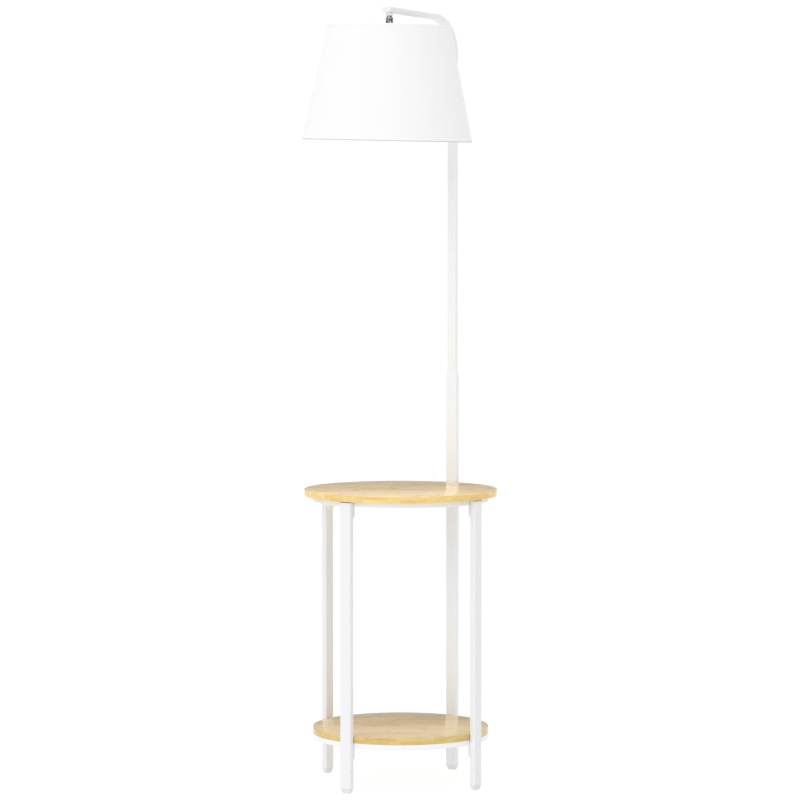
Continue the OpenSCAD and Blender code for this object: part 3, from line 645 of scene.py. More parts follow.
class Finish(Nodes):
    """A material round one Principled shader. Constants are named as the shader's sockets are."""

    def __init__(self, base, roughness, **constants):
        self.material = bpy.data.materials.new("finish")
        self.material.use_nodes = True
        super().__init__(self.material.node_tree, "Principled BSDF")
        self.feed("Base Color", (*base, 1))
        self.feed("Roughness", roughness)
        for key, value in constants.items():
            self.feed(key.replace("_", " ").title().replace("Ior", "IOR"), value)
        self.here = self.add("ShaderNodeTexCoord", output="Object")

    def mix(self, factor, a, b):
        """Colour a where the factor is 0, and b where it is 1."""
        a, b = (v if isinstance(v, Signal) else (*v, 1) for v in (a, b))
        return self.add("ShaderNodeMix", {"data_type": "RGBA"}, output="Result_Color",
                        Factor_Float=factor, A_Color=a, B_Color=b)

    def vector(self, x, y, z):
        return self.add("ShaderNodeCombineXYZ", None, x, y, z)

    def noise(self, scale, vector=None, detail=2.0, roughness=0.5):
        return self.add("ShaderNodeTexNoise", None, vector or self.here,
                        Scale=scale, Detail=detail, Roughness=roughness)

    def drawn(self, x, y, z, detail=1, roughness=0.5):
        """Noise that has its own scale along each axis, as x, y and z are already scaled."""
        return self.noise(1, self.vector(x, y, z), detail, roughness)

    def chance(self, a, b):
        """A random number from 0 to 1 for each pair of numbers."""
        return self.add("ShaderNodeTexWhiteNoise", {"noise_dimensions": "2D"}, self.vector(a, b, 0.0))

    def finished(self, base, roughness, height, depth, strength=1.0):
        """Feeds the shader and returns the material. Where depth isn't 0, the surface is raised by height
        times depth, which is in millimetres."""
        self.feed("Base Color", base)
        self.feed("Roughness", roughness)
        if depth:
            self.feed("Normal", self.add("ShaderNodeBump", None, Strength=strength, Distance=depth * MM,
                                         Height=height))
        return self.material


def shaded(base, share):
    """A colour whose lightness is multiplied by a share."""
    return tuple(share * c for c in base)


# ---- finishes ----


def bamboo(board, painted_shade_tint=1.0):
    """Lacquered bamboo board, glued from strips whose grain is turned from X: with x along the grain and y
    across it, the strip's number is floor(y / width) and each strip is joined from blocks, whose number is
    floor(x / length + the strip's own shift). Each block has its own tone, fibres that run along it, and a
    dark node wherever the fraction of x / spacing is near a half. The turned rim shows two layers, and the
    underside has no lacquer and is paler."""
    s = bpy.context.scene.lamp_boards
    # painted shade: a tint below 1 darkens every colour of the board, which the shelf gets for the shade under the
    # table top
    light, dark, cut, burnt, warm, spotted = (shaded(base, painted_shade_tint) for base in (
        s.light, s.dark, s.rim, (0.74, 0.48, 0.14), (0.86, 0.60, 0.40), (0.52, 0.38, 0.15)))
    f = Finish(light, 0.42, specular_ior_level=0.1, coat_weight=0.62, coat_roughness=0.05)

    east, north, z = f.axes(f.here)
    x = east * cos(s.turn) + north * sin(s.turn)
    y = north * cos(s.turn) - east * sin(s.turn)
    upward = f.axes(f.add("ShaderNodeNewGeometry", output="Normal"))[2]
    rim = 1 - abs(upward).between(0.35, 0.75)
    face = 1 - rim
    height = (z - board.low[2] * MM) * (2 / (board.size[2] * MM))
    layer = height.floor() * rim

    across = y / s.strip + layer * 0.37 + 0.31
    strip = across.floor() + layer * 17
    shift = f.chance(strip, 3.7)
    along = x / s.block + shift * 9
    block = along.floor()
    place = x / s.joint + shift * 5 + f.noise(14, detail=1) * 0.03
    node = 1 - place.off_half().between(0.004, 0.022)
    halo = 1 - place.off_half().between(0.0, 0.10)
    seam = across.off_half().between(0.484, 0.5).most(along.off_half().between(0.494, 0.5))
    glue = seam.most(height.off_half().between(0.47, 0.5) * rim)

    fibre = f.drawn(x * 14, y * 950, z * 950, 3, 0.6)
    streak = f.drawn(x * 5, y * 160, z * 160, 2)
    dash = f.drawn(x * 16, y * 75, strip * 3.1).between(0.68, 0.76)
    tone = 0.18 + f.chance(strip, 21.3) * 0.16 + f.chance(strip, block) * 0.42
    tone = tone + (fibre - 0.5) * 0.4 + (streak - 0.5) * 0.8 + (f.noise(7) - 0.5) * 0.4
    end_grain = f.noise(700, detail=1).between(0.6, 0.72)

    wood = f.mix(tone.between(0.0, 1.0), light, dark)
    wood = f.mix(f.chance(strip, block + 41).between(0.5, 0.9) * 0.5, wood, warm)
    wood = f.mix((0 - upward).between(0.5, 0.8) * 0.6, wood, (0.90, 0.84, 0.70))
    wood = f.mix(rim, wood, f.mix(tone.between(0.05, 0.95), cut, burnt))
    for share, mark in ((rim * end_grain * 0.2, (0.52, 0.30, 0.09)),
                        (dash * face * 0.4, spotted),
                        (halo * face * 0.2, (0.58, 0.40, 0.18)),
                        (node * face * 0.25, (0.40, 0.26, 0.11)),
                        (glue * 0.35, (0.46, 0.30, 0.12))):
        wood = f.mix(share, wood, mark)
    return f.finished(wood, 0.38 + fibre * 0.12, fibre * 0.25 - glue * 0.8 - node * face * 0.5, 0.06)


def powder_coat(paint):
    """White powder coat: a fine orange peel and small changes of gloss."""
    f = Finish(paint, 0.36, specular_ior_level=0.5)
    cloud = f.noise(9)
    clouded = f.mix(cloud * 0.5, paint, shaded(paint, 0.96))
    return f.finished(clouded, 0.33 + cloud * 0.08, f.noise(650), 0.035)


def moulded(base, roughness, depth=0.03, coat=0.0, grain=500):
    """Moulded plastic: a spark-eroded grain and slight clouds of gloss."""
    f = Finish(base, roughness, coat_weight=coat, coat_roughness=0.12)
    cloud = f.noise(60)
    clouded = f.mix(cloud * 0.3, base, shaded(base, 0.94))
    return f.finished(clouded, roughness - 0.05 + cloud * 0.1, f.noise(grain), depth)


def plated(base, low, high, scale, rings=1, stain=None, depth=0.0):
    """Bare or plated metal: its gloss runs from low to high with a noise, which is drawn out into rings on
    turned work, and it may carry a stain."""
    f = Finish(base, low, metallic=1.0)
    grain = f.noise(1, f.add("ShaderNodeMapping", None, f.here, Scale=(scale, scale, scale * rings)), 3, 0.6)
    cloud = f.noise(120, detail=3).between(0.45, 0.75)
    stained = f.mix(cloud * 0.5, base, stain or shaded(base, 0.86))
    return f.finished(stained, low + grain.between(0.3, 0.75) * (high - low), grain, depth)


def shade_cloth():
    """Plain weave, on the fabric's own UV map in metres: the height of the yarns is
    sin(pi u / yarn) * sin(pi v / yarn) plus the ridges of both sets, with thicker and thinner yarns and soft
    slubs. The same pattern darkens the colour: painted shade in the weave, over the yarns' own tone. A grey
    line of painted shade runs round the mouth, for the shade along the lower rim."""
    s = bpy.context.scene.lamp_shade
    f = Finish(s.fabric, 0.85, sheen_weight=0.15, sheen_roughness=0.5, specular_ior_level=0.25)
    u, v, _ = f.axes(f.add("ShaderNodeTexCoord", output="UV"))
    over = (u * (pi / s.yarn)).sine() * (v * (pi / s.yarn)).sine()
    warp = f.drawn(u * (1 / s.yarn), v * 60, 0.0)
    weft = f.drawn(u * 60, v * (1 / s.yarn), 3.0)
    slub = f.drawn(u * 35, v * 700, 7.0).between(0.62, 0.8)
    # painted shade in the weave's pattern, mixed with the yarns' own thicker and thinner tone
    yarn_tone_and_shade = over.between(-0.2, 0.9) * 0.3 + warp * 0.35 + weft * 0.35 + f.noise(5) * 0.2
    weave = f.mix(yarn_tone_and_shade.between(0.35, 1.0) * 0.5, s.fabric, shaded(s.fabric, 0.90))
    # painted shade: a grey band round the mouth, for the shade along the lower rim
    mouth = v.between((CLOTH_TALL - 2.3) * MM, (CLOTH_TALL - 1.4) * MM)
    weave_with_painted_shade = f.mix(mouth * 0.8, weave, (0.50, 0.50, 0.50))
    return f.finished(weave_with_painted_shade, 0.85, over * 0.5 + (warp + weft) * 0.6 + slub * 0.5, 0.10, 0.8)


def liner_film():
    """White film with faint clouds, a soft gloss and a grey band of painted shade at the mouth, for the shade
    along the lower rim.
    """
    base = bpy.context.scene.lamp_shade.liner
    f = Finish(base, 0.45, specular_ior_level=0.4)
    cloud = f.noise(12)
    x, _, z = f.axes(f.here)
    fall = (x - PIVOT[0] * MM) * DOWN[0] + (z - PIVOT[2] * MM) * DOWN[2]
    # painted shade: a grey band along the lower rim, darkest towards the mouth
    edge = fall.between((-CLOTH_LOW - 7) * MM, (-CLOTH_LOW - 3) * MM)
    clouded = f.mix(cloud * 0.3, base, shaded(base, 0.95))
    film = f.mix(edge, clouded, (0.45, 0.45, 0.45))
    return f.finished(film, 0.42 + cloud * 0.1, f.noise(1200, detail=1), 0.02)


def opal():
    """Opal plastic of the bulb's diffuser: milky, with a fine frosting."""
    f = Finish((0.90, 0.89, 0.86), 0.32, coat_weight=0.25, coat_roughness=0.2)
    frost = f.noise(700, detail=1)
    milky = f.mix(f.noise(30) * 0.4, (0.91, 0.90, 0.87), (0.86, 0.85, 0.81))
    return f.finished(milky, 0.28 + frost * 0.1, frost, 0.015)


def finish_makers():
    """The lamp's finishes, by name. Those of plain slots have the slot's name."""
    tubes = bpy.context.scene.lamp_tubes
    return {
        "bamboo_top": lambda: bamboo(TOP),
        # the shelf's bamboo is a darker copy of the top's: painted shade from the table top above it
        "bamboo_shelf": lambda: bamboo(SHELF, bpy.context.scene.lamp_boards.shelf),
        "white_paint": lambda: powder_coat(tubes.paint),
        # painted shade: a darker copy of the white coat for the short legs
        "leg_paint_shaded_copy": lambda: powder_coat(tubes.legs),
        # painted light: a bluer copy of the white coat for the pole, against the boards' warm bounce light
        "pole_paint_bounce_cooled": lambda: powder_coat(tubes.pole),
        "foot_plastic": lambda: moulded(tubes.foot, 0.5),
        # black; on the leg caps it also draws the line of shade where each leg meets the table top, so it is
        # painted shade in part
        "black_plastic": lambda: moulded((0.025, 0.025, 0.025), 0.5),
        "white_plastic": lambda: moulded(bpy.context.scene.lamp_head.plastic, 0.28, 0.005, 0.2),
        "ivory_plastic": lambda: moulded((0.72, 0.67, 0.56), 0.5, 0.05, grain=250),
        "flex": lambda: moulded((0.70, 0.70, 0.70), 0.6),
        "zinc": lambda: plated((0.60, 0.60, 0.62), 0.28, 0.5, 300, depth=0.01),
        # painted reflection: the chrome's base is darker than plating's own, standing in for the dark surroundings
        # that it reflects
        "chrome": lambda: plated((0.34, 0.34, 0.35), 0.05, 0.13, 40),
        "brass": lambda: plated((0.74, 0.56, 0.27), 0.2, 0.36, 200, stain=(0.5, 0.36, 0.17)),
        "bulb_metal": lambda: plated((0.76, 0.76, 0.77), 0.24, 0.42, 40, rings=60),
        "shade_cloth": shade_cloth,
        "liner": liner_film,
        "opal": opal,
    }


def material(name):
    """One of the lamp's finishes, made when it is first asked for. Its own prefix keeps it apart from the
    plain materials that come with the frame."""
    own = "lamp_" + name
    if own not in bpy.data.materials:
        finish_makers()[name]().name = own
    return bpy.data.materials[own]


# ---- camera, floor and light ----


class LampOperator:
    """What the operators that build a group of pieces share."""

    bl_options = {"REGISTER", "UNDO"}

    def execute(self, context):
        self.build(context.scene)
        return {"FINISHED"}


class LAMP_OT_camera(LampOperator, Operator):
    """Sets the camera at the photograph's height, turn and distance"""

    bl_idname = "lamp.camera"
    bl_label = "Camera"

    def build(self, scene):
        camera = bpy.data.cameras.new("view")
        camera.lens = scene.lamp_stage.focal
        camera.sensor_width = 36
        camera.clip_start, camera.clip_end = 0.1, 500
        obj = bpy.data.objects.new("view", camera)
        scene.collection.objects.link(obj)
        level = Vector(CAMERA_HEADING) * cos(CAMERA_PITCH)
        obj.location = CAMERA_SPOT
        obj.rotation_euler = Vector((*level, -sin(CAMERA_PITCH))).to_track_quat("-Z", "Y").to_euler()
        scene.camera = obj


class LAMP_OT_stage(LampOperator, Operator):
    """Lays a plain pale floor and sets plain soft studio light"""

    bl_idname = "lamp.stage"
    bl_label = "Stage"

    def build(self, scene):
        low = CAD_BOX[0][2] / MM
        x, y = FLOOR_REACH * np.array([[-1, 1, 1, -1], [-1, -1, 1, 1]])
        floor = mesh_object("floor", [skin(np.stack([columns(x, y, z) for z in (low - FLOOR_T, low)]))])
        plain = Finish((0.12, 0.12, 0.12), 0.9, specular_ior_level=0.0, emission_strength=0.9)
        plain.feed("Emission Color", (1, 1, 1, 1))
        plain.material.name = "floor_white"
        floor.data.materials.append(plain.material)
        self.add_key(scene)
        scene.world = self.room(scene.lamp_stage.ambient)
        scene.view_settings.view_transform = "Standard"

    @staticmethod
    def room(ambient):
        """The light from all sides grows from the horizon to the zenith, and a little towards the rear.
        The camera sees plain white. What is glossy sees a darker room, with one bright strip and one dark
        one that stand upright in it."""
        world = bpy.data.worlds.new("studio")
        world.use_nodes = True
        room = Nodes(world.node_tree, "Background")
        x, y, z = room.axes(room.add("ShaderNodeTexCoord", output="Generated"))
        rear, strip, dark = (x * side[0] + y * side[1] for side in (REAR, STRIP, SHADOW))
        soft = z.between(0.0, 1.0) * 1.9 + 0.45 + rear.between(0.1, 0.9) * 0.35
        shiny = 0.24 + z.between(0.11, 0.2) * 0.35 + z.between(0.25, 0.9) * 0.4
        shiny = shiny + strip.between(0.965, 0.985) * 3.0 - dark.between(0.95, 0.985) * 0.2
        glossy = room.add("ShaderNodeLightPath", output="Is Glossy Ray")
        seen = room.add("ShaderNodeLightPath", output="Is Camera Ray")
        lit = soft * ambient * (1 - glossy) + shiny * glossy
        room.feed("Strength", lit * (1 - seen) + seen * WHITE)
        room.feed("Color", (1, 1, 1, 1))
        return world

    @staticmethod
    def add_key(scene):
        """The soft light from far off in front."""
        lamp = bpy.data.lights.new("key", "SUN")
        lamp.energy = scene.lamp_stage.key
        lamp.angle = radians(KEY_WIDTH)
        obj = bpy.data.objects.new("key", lamp)
        obj.rotation_euler = Vector(KEY_SOURCE).to_track_quat("Z", "Y").to_euler()
        scene.collection.objects.link(obj)


# ---- stand ----


class LAMP_OT_boards(LampOperator, Operator):
    """Makes the round table top with its notch for the pole, and the round lower shelf"""

    bl_idname = "lamp.boards"
    bl_label = "Boards"

    def build(self, scene):
        # Each long edge is a quarter circle: inset by edge (1 - sin a), lifted by edge (1 - cos a).
        edge, a = scene.lamp_boards.edge / MM, np.linspace(0, pi / 2, 6)
        inset, lift = edge * (1 - np.sin(a)), edge * (1 - np.cos(a))
        inset = np.concatenate([inset, inset[::-1]])[:, None]
        for part, node, board, outline in (("top", "tabletop", TOP, self.notched),
                                           ("shelf", "lower_shelf", SHELF, self.round)):
            z = np.concatenate([board.low[2] + lift, (board.high[2] - lift)[::-1]])[:, None]
            x, y = outline(board.size[0] / 2 - inset)
            piece("board_" + part, node, [skin(columns(x, TABLE_Y + y, z))], "bamboo_" + part)

    @staticmethod
    def round(radius):
        """Rings of points (radius cos a, radius sin a)."""
        return polar(radius, full_turn(288))

    @staticmethod
    def notched(radius):
        """The same rings, cut by a notch at +Y. An arc runs from one side of the notch round to the other,
        from the angle whose cosine is half the notch's width over the radius, and two more points are the
        notch's inner corners. The notch grows as the disc shrinks."""
        inset = TOP.size[0] / 2 - radius
        half = LEG_W / 2 + GAP + inset
        floor = LEG_CIRCLE - LEG_T / 2 - GAP - inset
        start = np.arccos(half / radius)
        x, y = polar(radius, start - np.linspace(0, 1, 288) * (2 * start + pi))
        return np.concatenate([half, x, -half], axis=1), np.concatenate([floor, y, floor], axis=1)


class LAMP_OT_hoops(LampOperator, Operator):
    """Makes the two welded hoops with their bent brackets and weld beads"""

    bl_idname = "lamp.hoops"
    bl_label = "Hoops"

    def build(self, scene):
        bar_edge, bead = scene.lamp_tubes.bar_edge / MM, scene.lamp_tubes.bead / MM
        a = full_turn(256)
        spin = columns(np.cos(a), np.sin(a), 0)
        bead_fall = columns(0, 0, (1.2, 2.5, 5, 7.5, 8.8))
        for name, node, board in (("hoop_under_top", "hoop_upper", TOP),
                                  ("hoop_under_shelf", "hoop_lower", SHELF)):
            under = board.low[2]
            centre = spin * HOOP_R + (0, TABLE_Y, under - HOOP_H / 2)
            hoop = swept(box_outline(BAR, HOOP_H, bar_edge, 4), centre, spin, (0, 0, 1), loop=True)
            joint = [self.bracket(under, Place(node).low[2], bar_edge)]
            for y in (-LEG_W / 2 - 0.2, LEG_W / 2 + 0.2):
                joint.append(wire((BRACKET_X - 0.1, y, under) - bead_fall, bead))
            piece(name, node, [hoop, *(at_corner(shell, corner) for corner in CORNERS for shell in joint)])

    @staticmethod
    def bracket(under, low, edge):
        """A bent flat bar: a path in the plane of X and Z runs from the lug's tip, under the board, round a
        bend and down the leg. At each spot the outline is a rounded rectangle, as thick as the bar there,
        whose width shrinks towards both ends as the chord of a corner circle."""
        bend = 4
        lug_corner, foot_corner = 3, 7
        middle = BRACKET_X + BAR / 2
        line = np.array([(BRACKET_X - LUG_L, under - LUG_T / 2),
                         *arc((middle - bend, under - LUG_T / 2 - bend), bend, 90, 0, 10),
                         (middle, low)])
        reach = np.concatenate([[0], np.cumsum(np.linalg.norm(np.diff(line, axis=0), axis=1))])
        ease = 1 - np.cos(np.linspace(0, pi / 2, 9))
        s = np.unique(np.concatenate([ease * lug_corner, reach[1:-1], reach[-1] - ease * foot_corner]))
        x, z = (np.interp(s, reach, line[:, axis]) for axis in (0, 1))
        run = np.gradient(columns(x, z), s, axis=0)
        run /= np.linalg.norm(run, axis=1, keepdims=True)
        width = LEG_W + 0 * s
        for gap, r in ((s, lug_corner), (reach[-1] - s, foot_corner)):
            chord = LEG_W - 2 * r + 2 * np.sqrt(np.clip(r * r - np.clip(r - gap, 0, r) ** 2, 0, None))
            width = np.minimum(width, np.where(gap < r, chord, LEG_W))
        thick = np.interp(s, [reach[1], reach[-2]], [LUG_T, BAR])
        outline = box_outline(thick, width, np.full_like(s, edge), 3)
        return swept(outline, columns(x, 0, z), columns(-run[:, 1], 0, run[:, 0]), (0, 1, 0))


class LAMP_OT_tubes(LampOperator, Operator):
    """Makes the three short legs, the pole with its shoulder, and the bent arm"""

    bl_idname = "lamp.tubes"
    bl_label = "Legs, pole and arm"

    def build(self, scene):
        # the short legs take the darker copy of the white coat, as painted shade
        for corner in SHORT_LEGS:
            shell = loft([leg_row(LEG.low[2]), leg_row(LEG.high[2])])
            piece("leg_" + corner + "_tube", "leg_" + corner, [at_corner(shell, corner)], "leg_paint_shaded_copy")
        grub = self.drill(GRUB_R, 5)
        shell = loft([leg_row(POLE.low[2]), leg_row(POLE.high[2])])
        # the pole takes the bluer copy of the white coat, which cancels the warm light bounced from the boards
        piece("pole_tube", "pole_lower", [at_corner(shell, "back")], "pole_paint_bounce_cooled",
              holes=[facing_back(grub, (GRUB_X, POLE_BACK, POLE.high[2] - GRUB_Z)),
                     facing_back(self.drill(OUTLET_R, 6), (0, POLE_BACK, OUTLET_Z))])
        # The arm's centre line runs up the pole, round the bend by its angle a, and out to the tip.
        a = np.linspace(0, pi / 2 - ARM_RISE, 49)
        bend = columns(0, POLE_Y - BEND + BEND * np.cos(a), BEND_Z + BEND * np.sin(a))
        spots = np.concatenate([[(0, POLE_Y, SHOULDER_TOP)], bend, [arm_tip()[0]]])
        turn = np.concatenate([[0], a, [a[-1]]])
        outline = box_outline(ARM_T, ARM_W, ARM_CORNER)
        shell = swept(outline, spots, columns(0, np.cos(turn), np.sin(turn)), (-1, 0, 0))
        piece("arm_bent_tube", "arm_tube", [shell],
              holes=[facing_back(grub, (GRUB_X, POLE_Y + ARM_T / 2, SHOULDER_TOP + GRUB_Z))])
        self.shoulder()

    @staticmethod
    def drill(radius, inwards):
        """A cylinder that cuts a hole, from inside the tube to 5 mm outside it."""
        return revolved([(0, -inwards), (radius, -inwards), (radius, 5), (0, 5)], 32)

    @staticmethod
    def shoulder():
        """The plugs inside both tubes and the shoulder between them: rounded rectangles stacked up the pole,
        whose size eases from the leg tube's to the arm tube's."""
        deep = 45
        low, high = leg_row(POLE.high[2]), arm_row(SHOULDER_TOP)
        share = np.linspace(0, 1, 9)
        turned = columns(share, *[eased(share)] * 3)
        neck = np.array(low) + (np.array(high) - low) * turned
        rows = [leg_plug(low[0] - deep), leg_plug(low[0]), *neck, arm_plug(high[0]), arm_plug(high[0] + deep)]
        piece("pole_shoulder", "pole_connector", [at_corner(loft(rows), "back")])


class LAMP_OT_ends(LampOperator, Operator):
    """Makes the four tapered feet, the caps of the short legs and the end cap of the arm"""

    bl_idname = "lamp.ends"
    bl_label = "Feet and caps"

    def build(self, scene):
        self.feet()
        self.leg_caps()
        self.arm_cap()

    @staticmethod
    def feet():
        """A foot narrows from the tube to the floor, where its edge is rounded."""
        foot_t, foot_w, foot_corner, edge = 8.5, 17, 2.6, 0.7
        top = LEG.low[2]
        rows = []
        for angle in np.linspace(0, pi / 2, 5):
            less = 2 * edge * (1 - sin(angle))
            rows.append((edge * (1 - cos(angle)), foot_t - less, foot_w - less, foot_corner))
        rows += [leg_row(top - 1, 0.4), leg_row(top - 0.5), leg_row(top),
                 leg_plug(top), leg_plug(top + 13), leg_row(top + 14, 1.6 * PLUG, 1.2)]
        for corner in CORNERS:
            piece("foot_" + corner + "_plug", "foot_" + corner, [at_corner(loft(rows), corner)], sharp=38)

    @staticmethod
    def leg_caps():
        """A flat rim over each short leg, and the plug below it."""
        low, high = LEG.high[2], TOP.low[2]
        rows = [leg_plug(low - 14), leg_plug(low), leg_row(low), leg_row(high - 0.4),
                leg_row(high, 0.6, LEG_CORNER - 0.3)]
        piece("leg_top_caps", "leg_caps", [at_corner(loft(rows), corner) for corner in SHORT_LEGS], sharp=38)

    @staticmethod
    def arm_cap():
        """A domed cap: rounded rectangles along the arm, from the plug inside it to a face that draws in
        by 1 - cos of the angle as it comes forward by its sine."""
        proud, plug, deep, rim, dome = 1.5, 2.5, 2, 0.7, 1.4
        corner = ARM_CORNER + 0.4
        rows = [arm_row(-5, plug, 1.4), arm_row(0, plug, 1.4), arm_row(0, -proud, corner),
                arm_row(rim, -proud, corner)]
        for angle in np.linspace(0, pi / 2, 8)[1:]:
            shrink = 2 * dome * (1 - cos(angle))
            rows.append(arm_row(rim + (deep - 0.9) * sin(angle), shrink - proud, corner - 0.3 * shrink))
        rows.append((deep - 0.1, ARM_T + proud - 6, ARM_W + proud - 7, 1.2))
        rows.append((deep, 2, 8, 0.6))
        end, run, rise = arm_tip()
        piece("arm_tip_cap", "arm_end_cap", [framed(loft(rows), end, rise, (1, 0, 0), run)], sharp=30)


class LAMP_OT_fasteners(LampOperator, Operator):
    """Makes the leg bolts and the board screws"""

    bl_idname = "lamp.fasteners"
    bl_label = "Fasteners"

    def build(self, scene):
        bolt = screw(shank=6, head=11, deep=8.8, proud=0.8,
                     socket_deep=1.6, socket=lambda a: polygon_radius(4, 6, a))
        wood = screw(shank=4, head=7.4, deep=12, proud=0.6,
                     socket_deep=1.4, socket=lambda a: cross_radius(4, 1, a))
        bolts, woods = [], []
        for corner in CORNERS:
            for board in (TOP, SHELF):
                under = board.low[2]
                across = framed(bolt, (BRACKET_X, 0, under - BOLT_FALL), (0, 0, 1), (0, 1, 0), (-1, 0, 0))
                bolts.append(at_corner(across, corner))
                lug = (BRACKET_X - LUG_L / 2, 0, under - LUG_T)
                upward = framed(wood, lug, (1, 0, 0), (0, -1, 0), (0, 0, -1))
                woods.append(at_corner(upward, corner))
        piece("bolt_heads", "leg_bolts", bolts, sharp=32)
        piece("wood_screws", "board_screws", woods, sharp=32)


# ---- head ----


class LAMP_OT_joint(LampOperator, Operator):
    """Makes the boss under the arm, the swivel and its screw"""

    bl_idname = "lamp.joint"
    bl_label = "Boss and swivel"

    def build(self, scene):
        edge, screw_y, nut_y = 0.35, 7.2, -5.9
        self.boss()
        softened("swivel_top_half", "swivel_upper", edge)
        softened("swivel_low_half", "swivel_lower", edge)
        head = screw(shank=3, head=6, deep=10, proud=0.35,
                     socket_deep=1.1, socket=lambda a: polygon_radius(2, 6, a))
        piece("pivot_screw", "swivel_screw", [facing_back(head, PIVOT + (0, screw_y, 0))], sharp=32)
        bore, side, tall = 1.5, 2.9, 1.25
        rows = [(bore, 0), (side, 0), (side, 0.9), (side - 0.3, tall), (bore + 0.2, tall), (bore, tall - 0.2)]
        nut = framed(revolved(rows, 48, loop=True), PIVOT + (0, nut_y, 0), (1, 0, 0), (0, 0, 1), (0, -1, 0))
        piece("pivot_nut", "swivel_nut", [nut], sharp=32)

    @staticmethod
    def boss():
        """A short round post, whose radius flares towards the arm by 1 - cos of the angle as it rises by
        its sine."""
        radius, flare_z, top = 7.3, BOSS_Z + 4.4, BOSS_Z + 8
        rows = [(0, BOSS_Z), (radius - 0.6, BOSS_Z), (radius - 0.15, BOSS_Z + 0.15), (radius, BOSS_Z + 0.6),
                (radius, flare_z)]
        rows += [(radius + 1.5 * (1 - cos(t)), flare_z + 2.3 * sin(t)) for t in np.linspace(0.15, pi / 2, 6)]
        rows += [(radius - 0.3, top), (0, top)]
        piece("boss", "arm_boss", [moved(revolved(rows, 64), (0, PIVOT[1], 0))])


class LAMP_OT_lampholder(LampOperator, Operator):
    """Makes the lampholder with its threads, the nipple above it and the clamping ring"""

    bl_idname = "lamp.lampholder"
    bl_label = "Lampholder"

    def build(self, scene):
        s = scene.lamp_head
        self.nipple()
        self.cap()
        self.sleeve(s.thread / MM, s.thread_depth / MM)
        self.screw_shell(s.bulb_thread / MM)
        self.ring(s.grips)

    @staticmethod
    def nipple():
        """Threaded tube from the swivel into the cap."""
        low, high, bore = CAP_Z - 4.9, -8.6, 3
        rows = [(bore, low), *((NIPPLE_R, z) for z in np.linspace(low, high, 60)), (bore, high)]
        turned("threaded_nipple", "holder_nipple", rows, 48, thread(1, 0.3, low, high, 0.5), sharp=60)

    @staticmethod
    def cap():
        """The lampholder's domed cap, with grip ribs: r falls between them, over the straight side alone."""
        ribs, rib_deep, round_r, hole = 48, 0.35, 1.6, NIPPLE_R + 0.1
        top = NECK_Z + 10
        rows = [(HOLDER_BORE, NECK_Z), (HOLDER_R - 0.2, NECK_Z), (HOLDER_R, NECK_Z + 0.3)]
        rows += [(HOLDER_R, z) for z in np.linspace(NECK_Z + 1.2, top - 0.6, 10)]
        rows += arc((HOLDER_R - round_r, top), round_r, 8, 45, 4)
        rows += [(14.2, CAP_Z - 0.9), *arc((13, CAP_Z - round_r), round_r, 48, 90, 4)]
        rows += [(8.5, CAP_Z), (8.1, CAP_Z - 0.5), (hole + 0.5, CAP_Z - 0.5), (hole, CAP_Z - 0.8),
                 (hole, CAP_Z - 2.5), (HOLDER_BORE, CAP_Z - 2.5)]

        def ribbed(r, z, a):
            reach = np.clip(np.minimum(z - NECK_Z - 0.8, top - 0.4 - z) / 0.8, 0, 1) * (r > HOLDER_R - 1)
            return r - rib_deep * reach * (0.5 - 0.5 * np.cos(ribs * a)) ** 2

        turned("holder_top", "holder_cap", rows, 8 * ribs, ribbed)

    @staticmethod
    def sleeve(pitch, depth):
        """The lampholder's body: a tube with the shade's seat round it and a thread below the seat."""
        rows = [(HOLDER_BORE, NECK_Z), (HOLDER_R - 0.4, NECK_Z), (HOLDER_R, NECK_Z - 0.4),
                (HOLDER_R, SEAT_Z + 2.5), (HOLDER_R + 0.5, SEAT_Z + 2), (SEAT_R - 0.4, SEAT_Z + 2),
                (SEAT_R, SEAT_Z + 1.6), (SEAT_R, SEAT_Z + 0.4), (SEAT_R - 0.4, SEAT_Z), (HOLDER_R, SEAT_Z)]
        rows += [(HOLDER_R, z) for z in np.linspace(SEAT_Z - 0.5, MOUTH_Z + 0.8, 90)]
        rows += [(HOLDER_R - 0.6, MOUTH_Z), (HOLDER_BORE + 0.5, MOUTH_Z), (HOLDER_BORE, MOUTH_Z + 0.5)]
        cut = thread(pitch, depth, MOUTH_Z + 0.5, SEAT_Z - 0.5, 2.5)

        def outside(r, z, a):
            return np.where((r > HOLDER_R - 0.1) & (z < SEAT_Z - 0.4), cut(r, z, a), r)

        turned("holder_sleeve", "holder_body", rows, shape=outside)

    @staticmethod
    def screw_shell(pitch):
        """The thin rolled shell that takes the bulb's cap."""
        radius, wall, low = 13.8, 0.5, MOUTH_Z + 3
        up = np.linspace(low, SHELL_TOP, 70)
        rows = [(radius, z) for z in up] + [(radius - wall, z) for z in up[::-1]]
        roll = thread(pitch, 0.35, low, SHELL_TOP, 2)
        turned("rolled_shell", "holder_screw_shell", rows, 72, roll, sharp=50)

    @staticmethod
    def ring(notches):
        """The clamping ring: a flanged ring whose radius falls in each grip notch by the square of
        cos(notches a)."""
        flange, bore = 26, RING_BORE
        top = SEAT_Z - 2.1
        low = top - 8
        rows = [(bore, low + 0.3), (bore + 0.4, low), (flange - 0.6, low), (flange, low + 0.6),
                (flange, low + 2), (flange - 0.6, low + 2.6), (SEAT_R + 0.6, low + 2.6), (SEAT_R, low + 3.2),
                (SEAT_R, low + 5), (SEAT_R, top - 0.5), (SEAT_R - 0.5, top), (bore + 0.4, top),
                (bore, top - 0.4)]

        def grips(r, z, a):
            deep = np.where(r > flange - 1, 0.9, np.where(r > SEAT_R - 0.1, 0.3, 0))
            return r - deep * np.clip(np.cos(notches * a), 0, 1) ** 2

        turned("clamping_ring", "shade_ring", rows, 16 * notches, grips)


